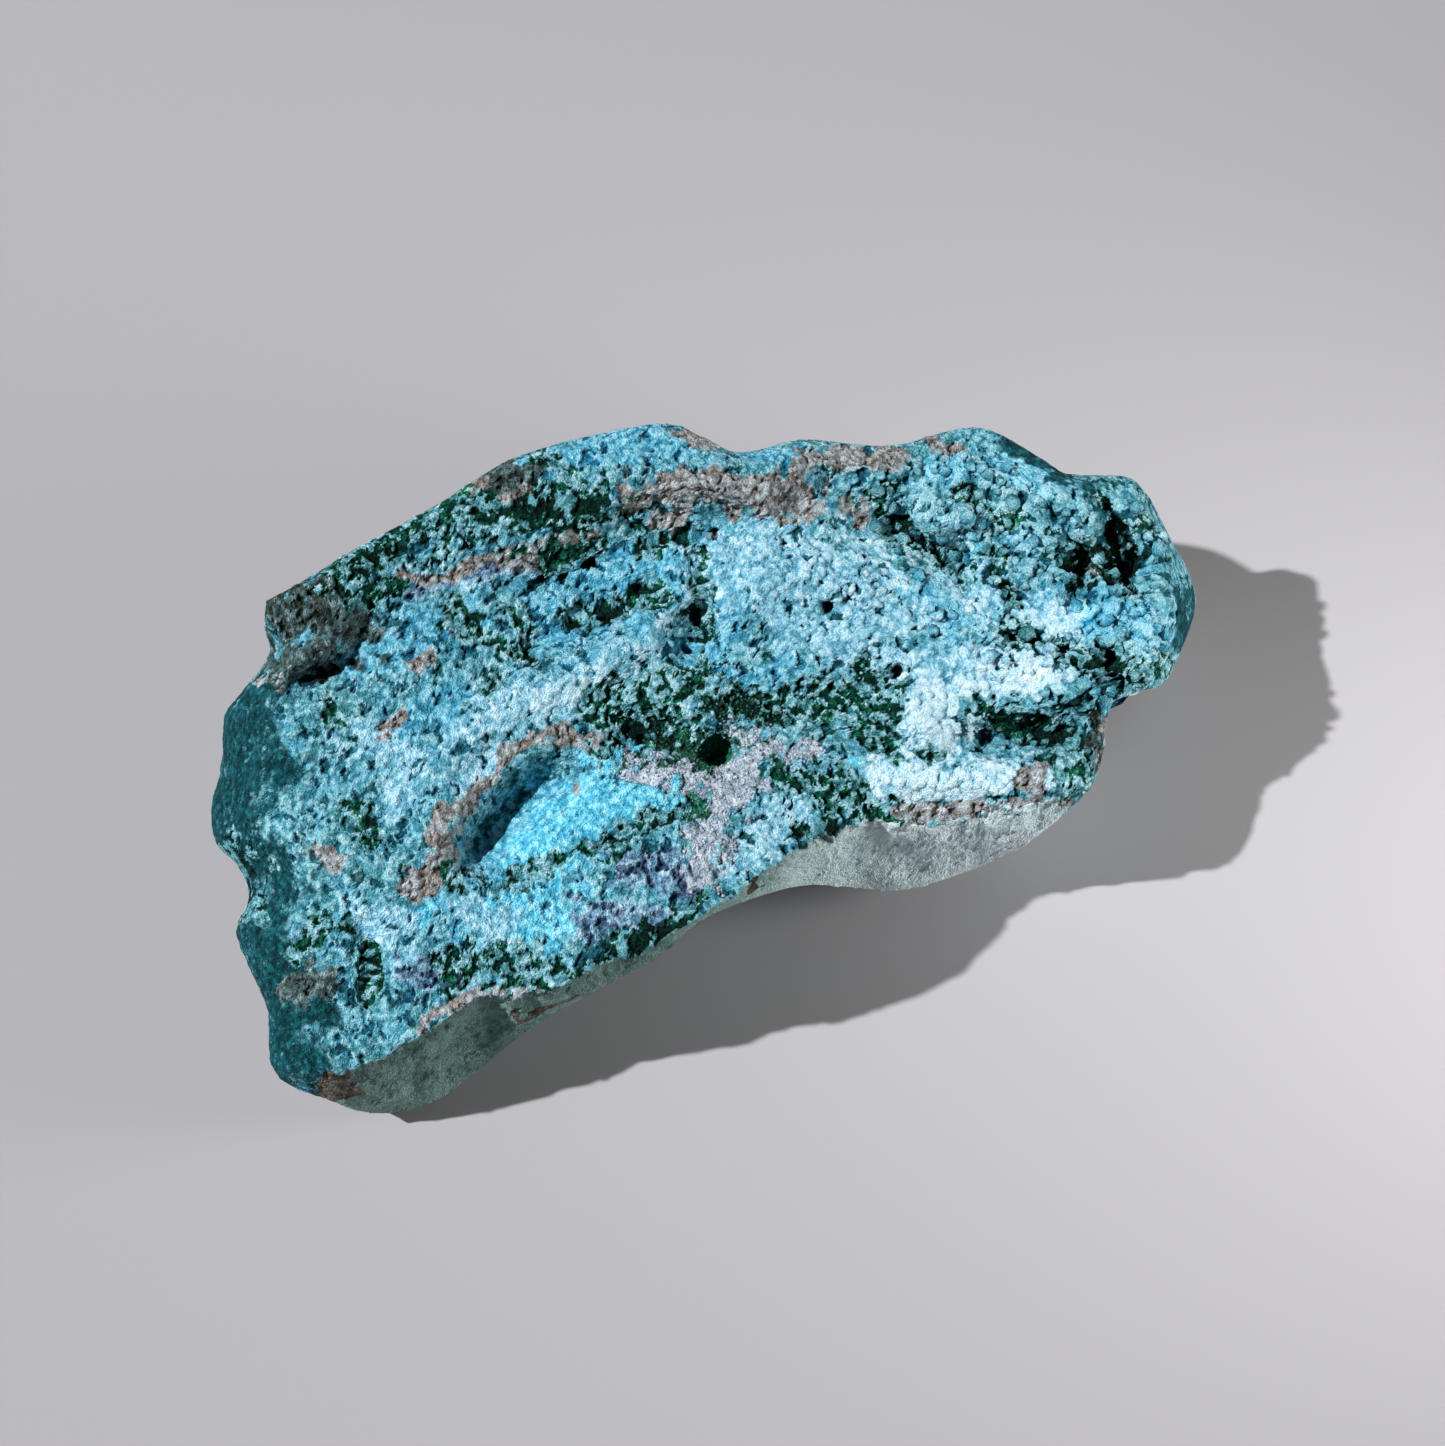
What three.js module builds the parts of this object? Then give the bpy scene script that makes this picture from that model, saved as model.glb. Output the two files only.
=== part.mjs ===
// A hand specimen of chrysocolla and malachite: one natural stone, 93 mm long, lying on its flat patch.
// Millimetres, +Z up. The origin is on the ground under the middle of the stone, and +X runs along it.
//
// The stone is a closed shell of two sheets that share one outline, as a pillow's do. The outline is what
// the eye sees from one fixed place above the stone, as pixels of that view with the real height of each
// point. Each pixel inside it is one line of sight. The upper sheet crosses that line at the height of the
// crust, and the lower sheet crosses it at the height of the hidden side, down to the flat patch.
import * as THREE from "three";
import { mergeVertices } from "three/addons/utils/BufferGeometryUtils.js";

// The eye that the outline was seen from: where it looks, from how far and from which side.
const EYE_DISTANCE = 260;
const EYE_ELEVATION = THREE.MathUtils.degToRad(62);
const EYE_AZIMUTH = THREE.MathUtils.degToRad(-30);
const AIM = new THREE.Vector3(4.45, 3.65, 0);
const AIM_PIXEL = [722.5, 723];
const PIXELS_PER_MM = 10.87;

// Cells of each sheet, along the stone and across it.
const CELLS_ALONG = 60;
const CELLS_ACROSS = 32;

// The outline in four stretches. Each point is the pixel's column, its row, and its height in mm.
const NEAR_EDGE = [
  [280, 1079, 7.5], [296, 1088, 7], [330, 1100, 6], [352, 1109, 4.5], [386, 1113, 2.5], [434, 1102, 1.5],
  [478, 1070, 3], [524, 1033, 8.5], [593, 992, 13], [650, 962, 16], [706, 918, 19.5], [770, 893, 16],
  [807, 885, 11], [852, 887, 6], [899, 890, 4.5], [976, 868, 6], [1030, 841, 10.5], [1066, 812, 14],
  [1090, 789, 15.5],
];
const FAR_EDGE = [
  [266, 601, 22.6], [300, 583, 23.2], [350, 552, 23.4], [440, 503, 24.5], [510, 460, 26], [606, 433, 27.5],
  [672, 425, 27.8], [713, 443, 27], [738, 453, 26], [803, 440, 26], [859, 445, 25.5], [899, 445, 25],
  [950, 431, 25], [985, 429, 25], [1035, 455, 24], [1064, 473, 23], [1100, 476, 21.5], [1131, 479, 20],
  [1150, 498, 18],
];
const LEFT_END = [
  [280, 1079, 7.5], [271, 1062, 8], [268, 1010, 8.5], [250, 968, 8.5], [237, 930, 8.5], [249, 898, 7.5],
  [240, 868, 7], [216, 842, 7.5], [212, 808, 8], [222, 765, 9], [226, 714, 10], [240, 695, 12],
  [270, 652, 15], [265, 626, 20.5], [266, 601, 22.6],
];
const RIGHT_END = [
  [1090, 789, 15.5], [1100, 765, 15.8], [1106, 730, 16], [1112, 703, 17], [1138, 691, 16.5], [1162, 683, 14],
  [1183, 645, 11.5], [1195, 604, 10], [1189, 574, 11], [1174, 546, 13], [1150, 498, 18],
];

// Heights of the crust without its ridges and hollows: pixel column, pixel row, height in mm.
const CRUST_HEIGHTS = [
  [330, 1060, 11.5], [450, 1000, 15.5], [560, 975, 15.3], [640, 930, 19], [700, 890, 22], [790, 840, 20.5],
  [900, 815, 14.5], [1000, 795, 14], [1080, 770, 17.5],
  [290, 950, 14], [400, 860, 19], [500, 870, 18.5], [600, 810, 20], [700, 780, 21.5], [800, 740, 21.5],
  [900, 720, 21], [1000, 710, 20.5], [1080, 680, 20],
  [280, 780, 17], [380, 720, 20], [480, 660, 21], [580, 620, 22], [700, 590, 23], [800, 580, 23],
  [900, 570, 22], [1000, 590, 22], [1090, 600, 21], [1150, 600, 17],
  [300, 640, 22], [400, 570, 23.5], [520, 500, 25], [650, 460, 26], [740, 480, 26], [820, 480, 26.5],
  [900, 470, 26], [1000, 470, 25.5], [1080, 510, 23.5],
];
const HEIGHT_REACH = 62;

// The rolled rim along the far edge stands up from the field at this broken line, its scarp.
const RIM_SCARP = [
  [262, 655], [288, 689], [338, 662], [400, 612], [480, 577], [531, 579], [563, 569], [584, 558],
  [622, 541], [656, 529], [700, 531], [721, 523], [760, 520], [799, 510], [840, 470],
];

// The rim's rise above the field in mm and the scarp's width in pixels, each by column. Its end fades out.
const RIM_RISE = [[262, 2.6], [330, 2.4], [370, 1.5], [470, 1.5], [530, 2], [640, 2.7], [785, 2.6]];
const SCARP_WIDTH = [[262, 24], [330, 26], [370, 70], [470, 70], [530, 50], [640, 48], [785, 50]];
const RIM_END = 785;
const RIM_FADE = 50;

// Ridges (positive) and hollows (negative): a line of pixels, its half width in pixels, its rise in mm.
const RELIEF = [
  { line: [[477, 726], [591, 667], [690, 600]], width: 24, rise: 1.5 },
  { line: [[430, 845], [465, 805], [505, 768], [540, 742]], width: 20, rise: 1.1 },
  { line: [[480, 848], [512, 815], [550, 784]], width: 25, rise: -2.5 },
  { line: [[630, 738], [665, 735], [717, 752]], width: 26, rise: -1.8 },
  { line: [[860, 520], [905, 535], [955, 570]], width: 28, rise: -1.8 },
  { line: [[1078, 560], [1126, 572]], width: 22, rise: -3 },
  { line: [[985, 735], [1065, 730]], width: 18, rise: -2.4 },
  { line: [[915, 705], [935, 740], [905, 780], [1040, 775]], width: 24, rise: 1.2 },
  { line: [[735, 700], [800, 705], [880, 690]], width: 20, rise: -0.9 },
  { line: [[930, 520], [960, 520]], width: 16, rise: 1.3 },
  { line: [[1060, 500], [1095, 515]], width: 20, rise: 1.4 },
  { line: [[1145, 615], [1150, 650]], width: 18, rise: 1.2 },
  { line: [[430, 800], [450, 760]], width: 26, rise: 1 },
  { line: [[750, 600], [800, 570], [860, 590]], width: 22, rise: 0.9 },
  { line: [[690, 485], [760, 500]], width: 20, rise: 1.2 },
  { line: [[820, 462], [890, 462]], width: 16, rise: 0.9 },
];

// Scoops (positive) and bulges (negative) of the hidden side, on the same lines of sight. They fade out
// over the last millimetres above the ground, and over the last pixels before the outline.
const HIDDEN_RELIEF = [
  { line: [[330, 700], [400, 640], [520, 540]], width: 46, rise: 4 },
  { line: [[600, 560], [700, 545]], width: 44, rise: -3 },
  { line: [[800, 500], [860, 560]], width: 34, rise: 3 },
  { line: [[960, 520], [1040, 560]], width: 36, rise: -2 },
  { line: [[300, 1010], [330, 900]], width: 34, rise: 2.5 },
];
const HIDDEN_FADE = 5;
const HIDDEN_EDGE = 40;

// The least thickness between the sheets in mm, reached that many pixels inside the outline.
const THINNEST = 1.5;
const THIN_EDGE = 20;

// How the crust turns down at the outline: the width in pixels over which it does so at each side, and the
// drop in mm of an upright wall over one pixel, which the near side shows up to the column where it ends.
const FAR_TURN = 26;
const LEFT_TURN = 95;
const RIGHT_TURN = 80;
const NEAR_TURN = 40;
const WALL_DROP = 1 / (PIXELS_PER_MM * Math.cos(EYE_ELEVATION));
const WALL_END = 1064;
const WALL_FADE = 25;

// The width in pixels over which the hidden side falls from the outline to the ground.
const NEAR_UNDERCUT = 62;
const FAR_UNDERCUT = 190;
const LEFT_UNDERCUT = 150;
const RIGHT_UNDERCUT = 140;

const forward = new THREE.Vector3(
  -Math.sin(EYE_AZIMUTH) * Math.cos(EYE_ELEVATION),
  Math.cos(EYE_AZIMUTH) * Math.cos(EYE_ELEVATION),
  -Math.sin(EYE_ELEVATION),
);
const rightward = new THREE.Vector3(Math.cos(EYE_AZIMUTH), Math.sin(EYE_AZIMUTH), 0);
const upward = new THREE.Vector3().crossVectors(rightward, forward);
const eye = AIM.clone().addScaledVector(forward, -EYE_DISTANCE);

// The point where the line of sight through a pixel is at a height.
function pointOnSight(column, row, height) {
  const ray = forward
    .clone()
    .multiplyScalar(PIXELS_PER_MM * EYE_DISTANCE)
    .addScaledVector(rightward, column - AIM_PIXEL[0])
    .addScaledVector(upward, AIM_PIXEL[1] - row);
  return eye.clone().addScaledVector(ray, (height - eye.z) / ray.z);
}

const smoothstep = THREE.MathUtils.smoothstep;

// A curve through the points of one stretch of the outline, stepped evenly along its length.
function evenPoints(stretch, cells) {
  const knots = stretch.map((p) => new THREE.Vector3(...p));
  return new THREE.CatmullRomCurve3(knots, false, "centripetal").getSpacedPoints(cells);
}

// The distance in pixels from a pixel to a line of pixels.
function pixelsFromLine(column, row, line) {
  let nearest = Infinity;
  for (let i = 0; i + 1 < line.length; i++) {
    const [x0, y0] = line[i];
    const dx = line[i + 1][0] - x0;
    const dy = line[i + 1][1] - y0;
    const along = ((column - x0) * dx + (row - y0) * dy) / (dx * dx + dy * dy);
    const t = THREE.MathUtils.clamp(along, 0, 1);
    nearest = Math.min(nearest, Math.hypot(column - x0 - t * dx, row - y0 - t * dy));
  }
  return nearest;
}

// The value at a column of a left-to-right line of columns with values.
function valueAtColumn(column, line) {
  const next = line.findIndex((p) => p[0] > column);
  if (next <= 0) return next === 0 ? line[0][1] : line[line.length - 1][1];
  const [x0, value0] = line[next - 1];
  const [x1, value1] = line[next];
  return value0 + ((value1 - value0) * (column - x0)) / (x1 - x0);
}

// The sum of a set of ridges and hollows at a pixel, in mm.
function reliefAt(column, row, relief) {
  let sum = 0;
  for (const { line, width, rise } of relief) {
    sum += rise * Math.exp(-((pixelsFromLine(column, row, line) / width) ** 2));
  }
  return sum;
}

// A quarter of a circle: 0 at its start, upright there, and 1 from the turn's width inwards.
const turnIn = (distance, width) => Math.sqrt(1 - (1 - Math.min(distance / width, 1)) ** 2);

// The crust's height at a pixel: the mean of the heights round it, the rolled rim, and the relief.
function crustHeight(column, row) {
  let sum = 0;
  let weights = 0;
  for (const [x, y, height] of CRUST_HEIGHTS) {
    const weight = Math.exp(-((column - x) ** 2 + (row - y) ** 2) / (2 * HEIGHT_REACH ** 2));
    sum += weight * height;
    weights += weight;
  }
  const aboveScarp = valueAtColumn(column, RIM_SCARP) - row;
  const rolled = smoothstep(aboveScarp, 0, valueAtColumn(column, SCARP_WIDTH));
  const rim = rolled * (1 - smoothstep(column, RIM_END, RIM_END + RIM_FADE));
  return sum / weights + valueAtColumn(column, RIM_RISE) * rim + reliefAt(column, row, RELIEF);
}

// 1 at the outline and 0 where the hidden side meets the ground, with an upright start and a round foot.
const fallUnder = (distance, width) => 1 - Math.sin((Math.min(distance / width, 1) * Math.PI) / 2) ** 0.8;

const near = evenPoints(NEAR_EDGE, CELLS_ALONG);
const far = evenPoints(FAR_EDGE, CELLS_ALONG);
const left = evenPoints(LEFT_END, CELLS_ACROSS);
const right = evenPoints(RIGHT_END, CELLS_ACROSS);

// The pixel and the edge height at step i along and j across: each end's and side's curve blended inwards.
function patchPoint(i, j) {
  const u = i / CELLS_ALONG;
  const v = j / CELLS_ACROSS;
  const between = near[i].clone().lerp(far[i], v);
  const ends = left[j].clone().lerp(right[j], u);
  const nearCorners = near[0].clone().lerp(near[CELLS_ALONG], u);
  const farCorners = far[0].clone().lerp(far[CELLS_ALONG], u);
  return between.add(ends).sub(nearCorners.lerp(farCorners, v));
}

// Both heights at step i, j: the upper sheet's and the lower sheet's. On the outline they are one.
function sheetHeights(i, j) {
  const place = patchPoint(i, j);
  const onOutline = i === 0 || j === 0 || i === CELLS_ALONG || j === CELLS_ACROSS;
  if (onOutline) return { place, upper: place.z, lower: place.z };
  const across = Math.hypot(far[i].x - near[i].x, far[i].y - near[i].y);
  const along = Math.hypot(right[j].x - left[j].x, right[j].y - left[j].y);
  const fromNear = (j / CELLS_ACROSS) * across;
  const fromFar = across - fromNear;
  const fromLeft = (i / CELLS_ALONG) * along;
  const fromRight = along - fromLeft;
  const crust = crustHeight(place.x, place.y);
  const turned = (edge, distance, width) => edge + (crust - edge) * turnIn(distance, width);
  const wall = near[i].z + WALL_DROP * fromNear;
  const ended = smoothstep(place.x, WALL_END - WALL_FADE, WALL_END + WALL_FADE);
  const upper = Math.min(
    THREE.MathUtils.lerp(wall, turned(near[i].z, fromNear, NEAR_TURN), ended),
    turned(far[i].z, fromFar, FAR_TURN),
    turned(left[j].z, fromLeft, LEFT_TURN),
    turned(right[j].z, fromRight, RIGHT_TURN),
  );
  const plainLower = Math.max(
    near[i].z * fallUnder(fromNear, NEAR_UNDERCUT),
    far[i].z * fallUnder(fromFar, FAR_UNDERCUT),
    left[j].z * fallUnder(fromLeft, LEFT_UNDERCUT),
    right[j].z * fallUnder(fromRight, RIGHT_UNDERCUT),
  );
  const edgeDistance = Math.min(fromNear, fromFar, fromLeft, fromRight);
  const hidden = smoothstep(plainLower, 0, HIDDEN_FADE) * smoothstep(edgeDistance, 0, HIDDEN_EDGE);
  const lower = Math.max(plainLower + hidden * reliefAt(place.x, place.y, HIDDEN_RELIEF), 0);
  const highest = upper - THINNEST * smoothstep(edgeDistance, 0, THIN_EDGE);
  return { place, upper, lower: Math.min(lower, highest) };
}

// A four-sided cell as two triangles, cut along its shorter diagonal.
function splitCell(points, a, b, c, d) {
  const cutsAtA = points[a].distanceTo(points[c]) < points[b].distanceTo(points[d]);
  return cutsAtA ? [a, b, c, a, c, d] : [a, b, d, b, c, d];
}

// The closed shell: the upper sheet's cells face up and the lower sheet's face down.
function stoneGeometry() {
  const points = [];
  const faces = [];
  const rows = CELLS_ACROSS + 1;
  const sheetSize = (CELLS_ALONG + 1) * rows;
  for (const sheet of ["upper", "lower"]) {
    for (let i = 0; i <= CELLS_ALONG; i++) {
      for (let j = 0; j <= CELLS_ACROSS; j++) {
        const heights = sheetHeights(i, j);
        points.push(pointOnSight(heights.place.x, heights.place.y, heights[sheet]));
      }
    }
  }
  for (let i = 0; i < CELLS_ALONG; i++) {
    for (let j = 0; j < CELLS_ACROSS; j++) {
      const a = i * rows + j;
      const b = a + rows;
      faces.push(...splitCell(points, a, b, b + 1, a + 1));
      faces.push(...splitCell(points, a + sheetSize, a + 1 + sheetSize, b + 1 + sheetSize, b + sheetSize));
    }
  }
  const shell = new THREE.BufferGeometry();
  shell.setFromPoints(points);
  shell.setIndex(faces);
  return mergeVertices(shell, 1e-4);
}

const geometry = stoneGeometry();
geometry.computeVertexNormals();

const stone = new THREE.Mesh(
  geometry,
  new THREE.MeshStandardMaterial({ color: 0x56a6b8, roughness: 0.85, metalness: 0, flatShading: true }),
);
stone.name = "stone";

const specimen = new THREE.Group();
specimen.add(stone);
export default specimen;
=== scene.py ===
import math

import bpy
import numpy as np
from mathutils import Matrix, Vector


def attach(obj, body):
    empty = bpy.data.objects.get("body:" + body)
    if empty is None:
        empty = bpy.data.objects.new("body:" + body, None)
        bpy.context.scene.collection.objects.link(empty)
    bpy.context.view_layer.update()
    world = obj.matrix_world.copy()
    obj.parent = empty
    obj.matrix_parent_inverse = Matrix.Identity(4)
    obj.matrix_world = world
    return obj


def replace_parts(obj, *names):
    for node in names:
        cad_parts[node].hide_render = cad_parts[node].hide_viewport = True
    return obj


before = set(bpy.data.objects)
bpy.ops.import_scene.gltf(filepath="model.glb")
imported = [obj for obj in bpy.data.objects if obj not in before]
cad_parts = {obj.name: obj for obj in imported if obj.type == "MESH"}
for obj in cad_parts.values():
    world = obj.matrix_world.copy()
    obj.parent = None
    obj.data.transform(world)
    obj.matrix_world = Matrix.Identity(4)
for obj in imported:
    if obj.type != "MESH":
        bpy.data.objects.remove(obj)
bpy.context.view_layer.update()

# Lengths below are in millimetres, and places on the stone are pixels of the view that it is modelled in.
MM = 0.001

# The view: the eye's side, height and distance, and the ground point at the middle of the picture.
PICTURE_WIDTH = 1445
AIM_PIXEL = np.array([722.5, 723.0])
AIM = np.array([4.45, 3.65, 0.0])
EYE_AZIMUTH = math.radians(-30)
EYE_ELEVATION = math.radians(62)
EYE_DISTANCE = 260.0
PIXELS_PER_MM = 10.87
SENSOR_WIDTH = 36.0

FORWARD = np.array([
    -math.sin(EYE_AZIMUTH) * math.cos(EYE_ELEVATION),
    math.cos(EYE_AZIMUTH) * math.cos(EYE_ELEVATION),
    -math.sin(EYE_ELEVATION),
])
RIGHTWARD = np.array([math.cos(EYE_AZIMUTH), math.sin(EYE_AZIMUTH), 0.0])
UPWARD = np.cross(RIGHTWARD, FORWARD)
EYE = AIM - EYE_DISTANCE * FORWARD

# Cells of the stone's body on each of its two sheets, and of the finer crust on the seen one, in tiles.
# The crust's underside has one cell for each square of COARSE cells by COARSE.
BODY_CELLS = (280, 140)
CRUST_CELLS = (848, 424)
CRUST_TILES = 4
COARSE = 4

# How far the body lies under the crust's surface, and the crust's underside under that, in mm.
BODY_DEPTH = 0.9
CRUST_DEPTH = 1.7

# How far above the ground the surface's swellings and grains reach their full strength, in mm.
GROUND_FADE = 6.0

# How far from the outline's corners, in pixels, the surface stays as it is.
CORNER_REACH = 14.0

# How much closer the body's and crust's cells lie within the last part of each side.
EDGE_CROWDING = 3.0
EDGE_REACH = 0.03

# The outline in four stretches: pixel column, pixel row, height in mm.
NEAR_EDGE = [
    (280, 1079, 7.5), (296, 1088, 7), (330, 1100, 6), (352, 1109, 4.5), (386, 1113, 2.5), (434, 1102, 1.5),
    (478, 1070, 3), (524, 1033, 8.5), (593, 992, 13), (650, 962, 16), (706, 918, 19.5), (770, 893, 16),
    (807, 885, 11), (852, 887, 6), (899, 890, 4.5), (976, 868, 6), (1030, 841, 10.5), (1066, 812, 14),
    (1090, 789, 15.5),
]
FAR_EDGE = [
    (266, 601, 22.6), (300, 583, 23.2), (350, 552, 23.4), (440, 503, 24.5), (510, 460, 26), (606, 433, 27.5),
    (672, 425, 27.8), (713, 443, 27), (738, 453, 26), (803, 440, 26), (859, 445, 25.5), (899, 445, 25),
    (950, 431, 25), (985, 429, 25), (1035, 455, 24), (1064, 473, 23), (1100, 476, 21.5), (1131, 479, 20),
    (1150, 498, 18),
]
LEFT_END = [
    (280, 1079, 7.5), (271, 1062, 8), (268, 1010, 8.5), (250, 968, 8.5), (237, 930, 8.5), (249, 898, 7.5),
    (240, 868, 7), (216, 842, 7.5), (212, 808, 8), (222, 765, 9), (226, 714, 10), (240, 695, 12),
    (270, 652, 15), (265, 626, 20.5), (266, 601, 22.6),
]
RIGHT_END = [
    (1090, 789, 15.5), (1100, 765, 15.8), (1106, 730, 16), (1112, 703, 17), (1138, 691, 16.5),
    (1162, 683, 14), (1183, 645, 11.5), (1195, 604, 10), (1189, 574, 11), (1174, 546, 13), (1150, 498, 18),
]

# Heights of the crust without its ridges and hollows: pixel column, pixel row, height in mm.
CRUST_HEIGHTS = np.array([
    (330, 1060, 11.5), (450, 1000, 15.5), (560, 975, 15.3), (640, 930, 19), (700, 890, 22), (790, 840, 20.5),
    (900, 815, 14.5), (1000, 795, 14), (1080, 770, 17.5),
    (290, 950, 14), (400, 860, 19), (500, 870, 18.5), (600, 810, 20), (700, 780, 21.5), (800, 740, 21.5),
    (900, 720, 21), (1000, 710, 20.5), (1080, 680, 20),
    (280, 780, 17), (380, 720, 20), (480, 660, 21), (580, 620, 22), (700, 590, 23), (800, 580, 23),
    (900, 570, 22), (1000, 590, 22), (1090, 600, 21), (1150, 600, 17),
    (300, 640, 22), (400, 570, 23.5), (520, 500, 25), (650, 460, 26), (740, 480, 26), (820, 480, 26.5),
    (900, 470, 26), (1000, 470, 25.5), (1080, 510, 23.5),
])
HEIGHT_REACH = 62.0

# The scarp: the broken line where the rolled rim stands up from the field.
RIM_SCARP = np.array([
    (262, 655), (288, 689), (338, 662), (400, 612), (480, 577), (531, 579), (563, 569), (584, 558),
    (622, 541), (656, 529), (700, 531), (721, 523), (760, 520), (799, 510), (840, 470),
])

# The rim by column: its rise above the field in mm, and the scarp's width in pixels. Its end fades out.
RIM = np.array([
    (262, 2.6, 24), (330, 2.4, 26), (370, 1.5, 70), (470, 1.5, 70), (530, 2.0, 50), (640, 2.7, 48),
    (785, 2.6, 50),
])
RIM_END = 785.0
RIM_FADE = 50.0

# Ridges (positive) and hollows (negative): half width in pixels, rise in mm, line of pixels.
RELIEF = [
    (24, 1.5, [(477, 726), (591, 667), (690, 600)]),
    (20, 1.1, [(430, 845), (465, 805), (505, 768), (540, 742)]),
    (25, -2.5, [(480, 848), (512, 815), (550, 784)]),
    (26, -1.8, [(630, 738), (665, 735), (717, 752)]),
    (28, -1.8, [(860, 520), (905, 535), (955, 570)]),
    (22, -3.0, [(1078, 560), (1126, 572)]),
    (18, -2.4, [(985, 735), (1065, 730)]),
    (24, 1.2, [(915, 705), (935, 740), (905, 780), (1040, 775)]),
    (8, -0.7, [(362, 925), (372, 955), (366, 995)]),
    (10, -1.5, [(1104, 506), (1120, 545), (1134, 588)]),
    (13, -1.2, [(300, 684), (335, 668)]),
    (9, -0.9, [(533, 642), (578, 616)]),
    (10, -0.9, [(594, 602), (616, 609), (652, 584)]),
    (9, -0.8, [(664, 628), (700, 612)]),
    (14, -1.0, [(700, 560), (705, 600), (690, 650)]),
    (4, -0.5, [(500, 586), (560, 578), (622, 549), (656, 537), (720, 531)]),
    (20, -0.9, [(735, 700), (800, 705), (880, 690)]),
    (12, -0.8, [(595, 852), (640, 822), (690, 812)]),
    (14, -0.9, [(505, 875), (560, 872)]),
    (11, -2.6, [(717, 752)]),
    (7, -1.3, [(829, 607)]),
    (6, -1.2, [(848, 599)]),
    (6, -1.0, [(898, 671)]),
    (6, -0.9, [(784, 543)]),
    (9, -1.1, [(830, 838), (806, 843)]),
    (10, -1.3, [(1066, 653)]),
    (9, -1.2, [(1107, 662), (1112, 680)]),
    (9, -1.0, [(1024, 642), (994, 640)]),
    (12, -1.0, [(905, 505), (900, 525)]),
    (14, -1.0, [(940, 545), (965, 562)]),
    (16, 1.3, [(930, 520), (960, 520)]),
    (20, 1.4, [(1060, 500), (1095, 515)]),
    (18, 1.2, [(1145, 615), (1150, 650)]),
    (10, 0.8, [(1061, 572), (1050, 596)]),
    (26, 1.0, [(430, 800), (450, 760)]),
    (22, 0.9, [(750, 600), (800, 570), (860, 590)]),
    (12, 0.8, [(400, 970)]),
    (12, 0.7, [(420, 952)]),
    (20, 1.2, [(690, 485), (760, 500)]),
    (16, 0.9, [(820, 462), (890, 462)]),
]

# Scoops (positive) and bulges (negative) of the hidden side, and their fade: from the ground in mm, and
# from the outline in pixels.
HIDDEN_RELIEF = [
    (46, 4.0, [(330, 700), (400, 640), (520, 540)]),
    (44, -3.0, [(600, 560), (700, 545)]),
    (34, 3.0, [(800, 500), (860, 560)]),
    (36, -2.0, [(960, 520), (1040, 560)]),
    (34, 2.5, [(300, 1010), (330, 900)]),
]
HIDDEN_FADE = 5.0
HIDDEN_EDGE = 40.0

# How far the wall's face stands in and out in pixels, and over what size in mm.
WALL_WAVER = 14.0
WALL_WAVES = 3.2

# The least thickness between the sheets in mm, reached that many pixels inside the outline.
THINNEST = 1.5
THIN_EDGE = 20.0

# The turn of the crust at each side of the outline, and of the hidden side down to the ground, in pixels.
# The near side's turn is used past the end of the bare wall.
FAR_TURN = 26.0
LEFT_TURN = 95.0
RIGHT_TURN = 80.0
NEAR_UNDERCUT = 62.0
FAR_UNDERCUT = 190.0
LEFT_UNDERCUT = 150.0
RIGHT_UNDERCUT = 140.0
NEAR_TURN = 40.0

# The columns where the bare wall starts and ends, with the half widths of its fades, and how many mm an
# upright wall rises for each pixel inwards.
WALL_START = 318.0
WALL_START_FADE = 12.0
WALL_END = 1064.0
WALL_END_FADE = 25.0
WALL_RISE = 1 / (PIXELS_PER_MM * math.cos(EYE_ELEVATION))

# Where each mineral shows: half width in pixels, line of pixels along the middle of the patch. After the
# minerals come small holes painted black as shade, hollows darkened by painted shade, smooth crust,
# quartz points, beads, stains and knobs.
PALE_PATCHES = [
    (26, [(470, 738), (530, 700), (591, 667), (645, 648)]),
    (16, [(645, 640), (700, 595)]),
    (52, [(745, 570), (830, 570), (880, 620)]),
    (30, [(790, 630), (870, 640), (890, 660)]),
    (34, [(925, 690), (935, 735), (895, 775)]),
    (17, [(880, 780), (960, 770), (1040, 768)]),
    (24, [(940, 668), (1080, 665)]),
    (20, [(350, 735), (430, 770), (395, 810)]),
    (28, [(975, 590), (1055, 625)]),
    (18, [(470, 910), (500, 925)]),
    (20, [(360, 920), (395, 930)]),
    (16, [(480, 1005), (560, 985)]),
    (20, [(735, 865), (760, 850), (800, 810)]),
    (14, [(775, 740), (790, 780)]),
    (14, [(690, 720), (660, 690)]),
    (14, [(452, 790), (500, 752)]),
    (14, [(400, 580), (480, 580)]),
    (12, [(400, 970), (420, 952)]),
]
SKY_PATCHES = [
    (42, [(530, 870), (560, 830), (600, 785), (640, 795)]),
    (36, [(500, 922), (560, 912)]),
    (12, [(860, 800), (850, 770)]),
    (12, [(420, 920), (430, 900)]),
    (10, [(1050, 612), (1085, 620)]),
    (9, [(965, 545), (975, 560)]),
]
AZURE_PATCHES = [
    (20, [(480, 860), (515, 828), (550, 795)]),
    (26, [(370, 650), (470, 625)]),
    (22, [(440, 700), (400, 740)]),
    (26, [(560, 590), (650, 560), (720, 560)]),
    (22, [(530, 462), (600, 455), (670, 440)]),
    (12, [(745, 455), (800, 450)]),
    (22, [(730, 540), (720, 640), (690, 670)]),
    (18, [(1000, 470), (1050, 490)]),
    (16, [(935, 470), (955, 480)]),
    (30, [(920, 600), (1000, 622)]),
    (26, [(1060, 600), (1105, 625), (1150, 620)]),
    (26, [(555, 645), (625, 615)]),
    (24, [(640, 700), (780, 670)]),
    (26, [(440, 880), (470, 930)]),
]
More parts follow.
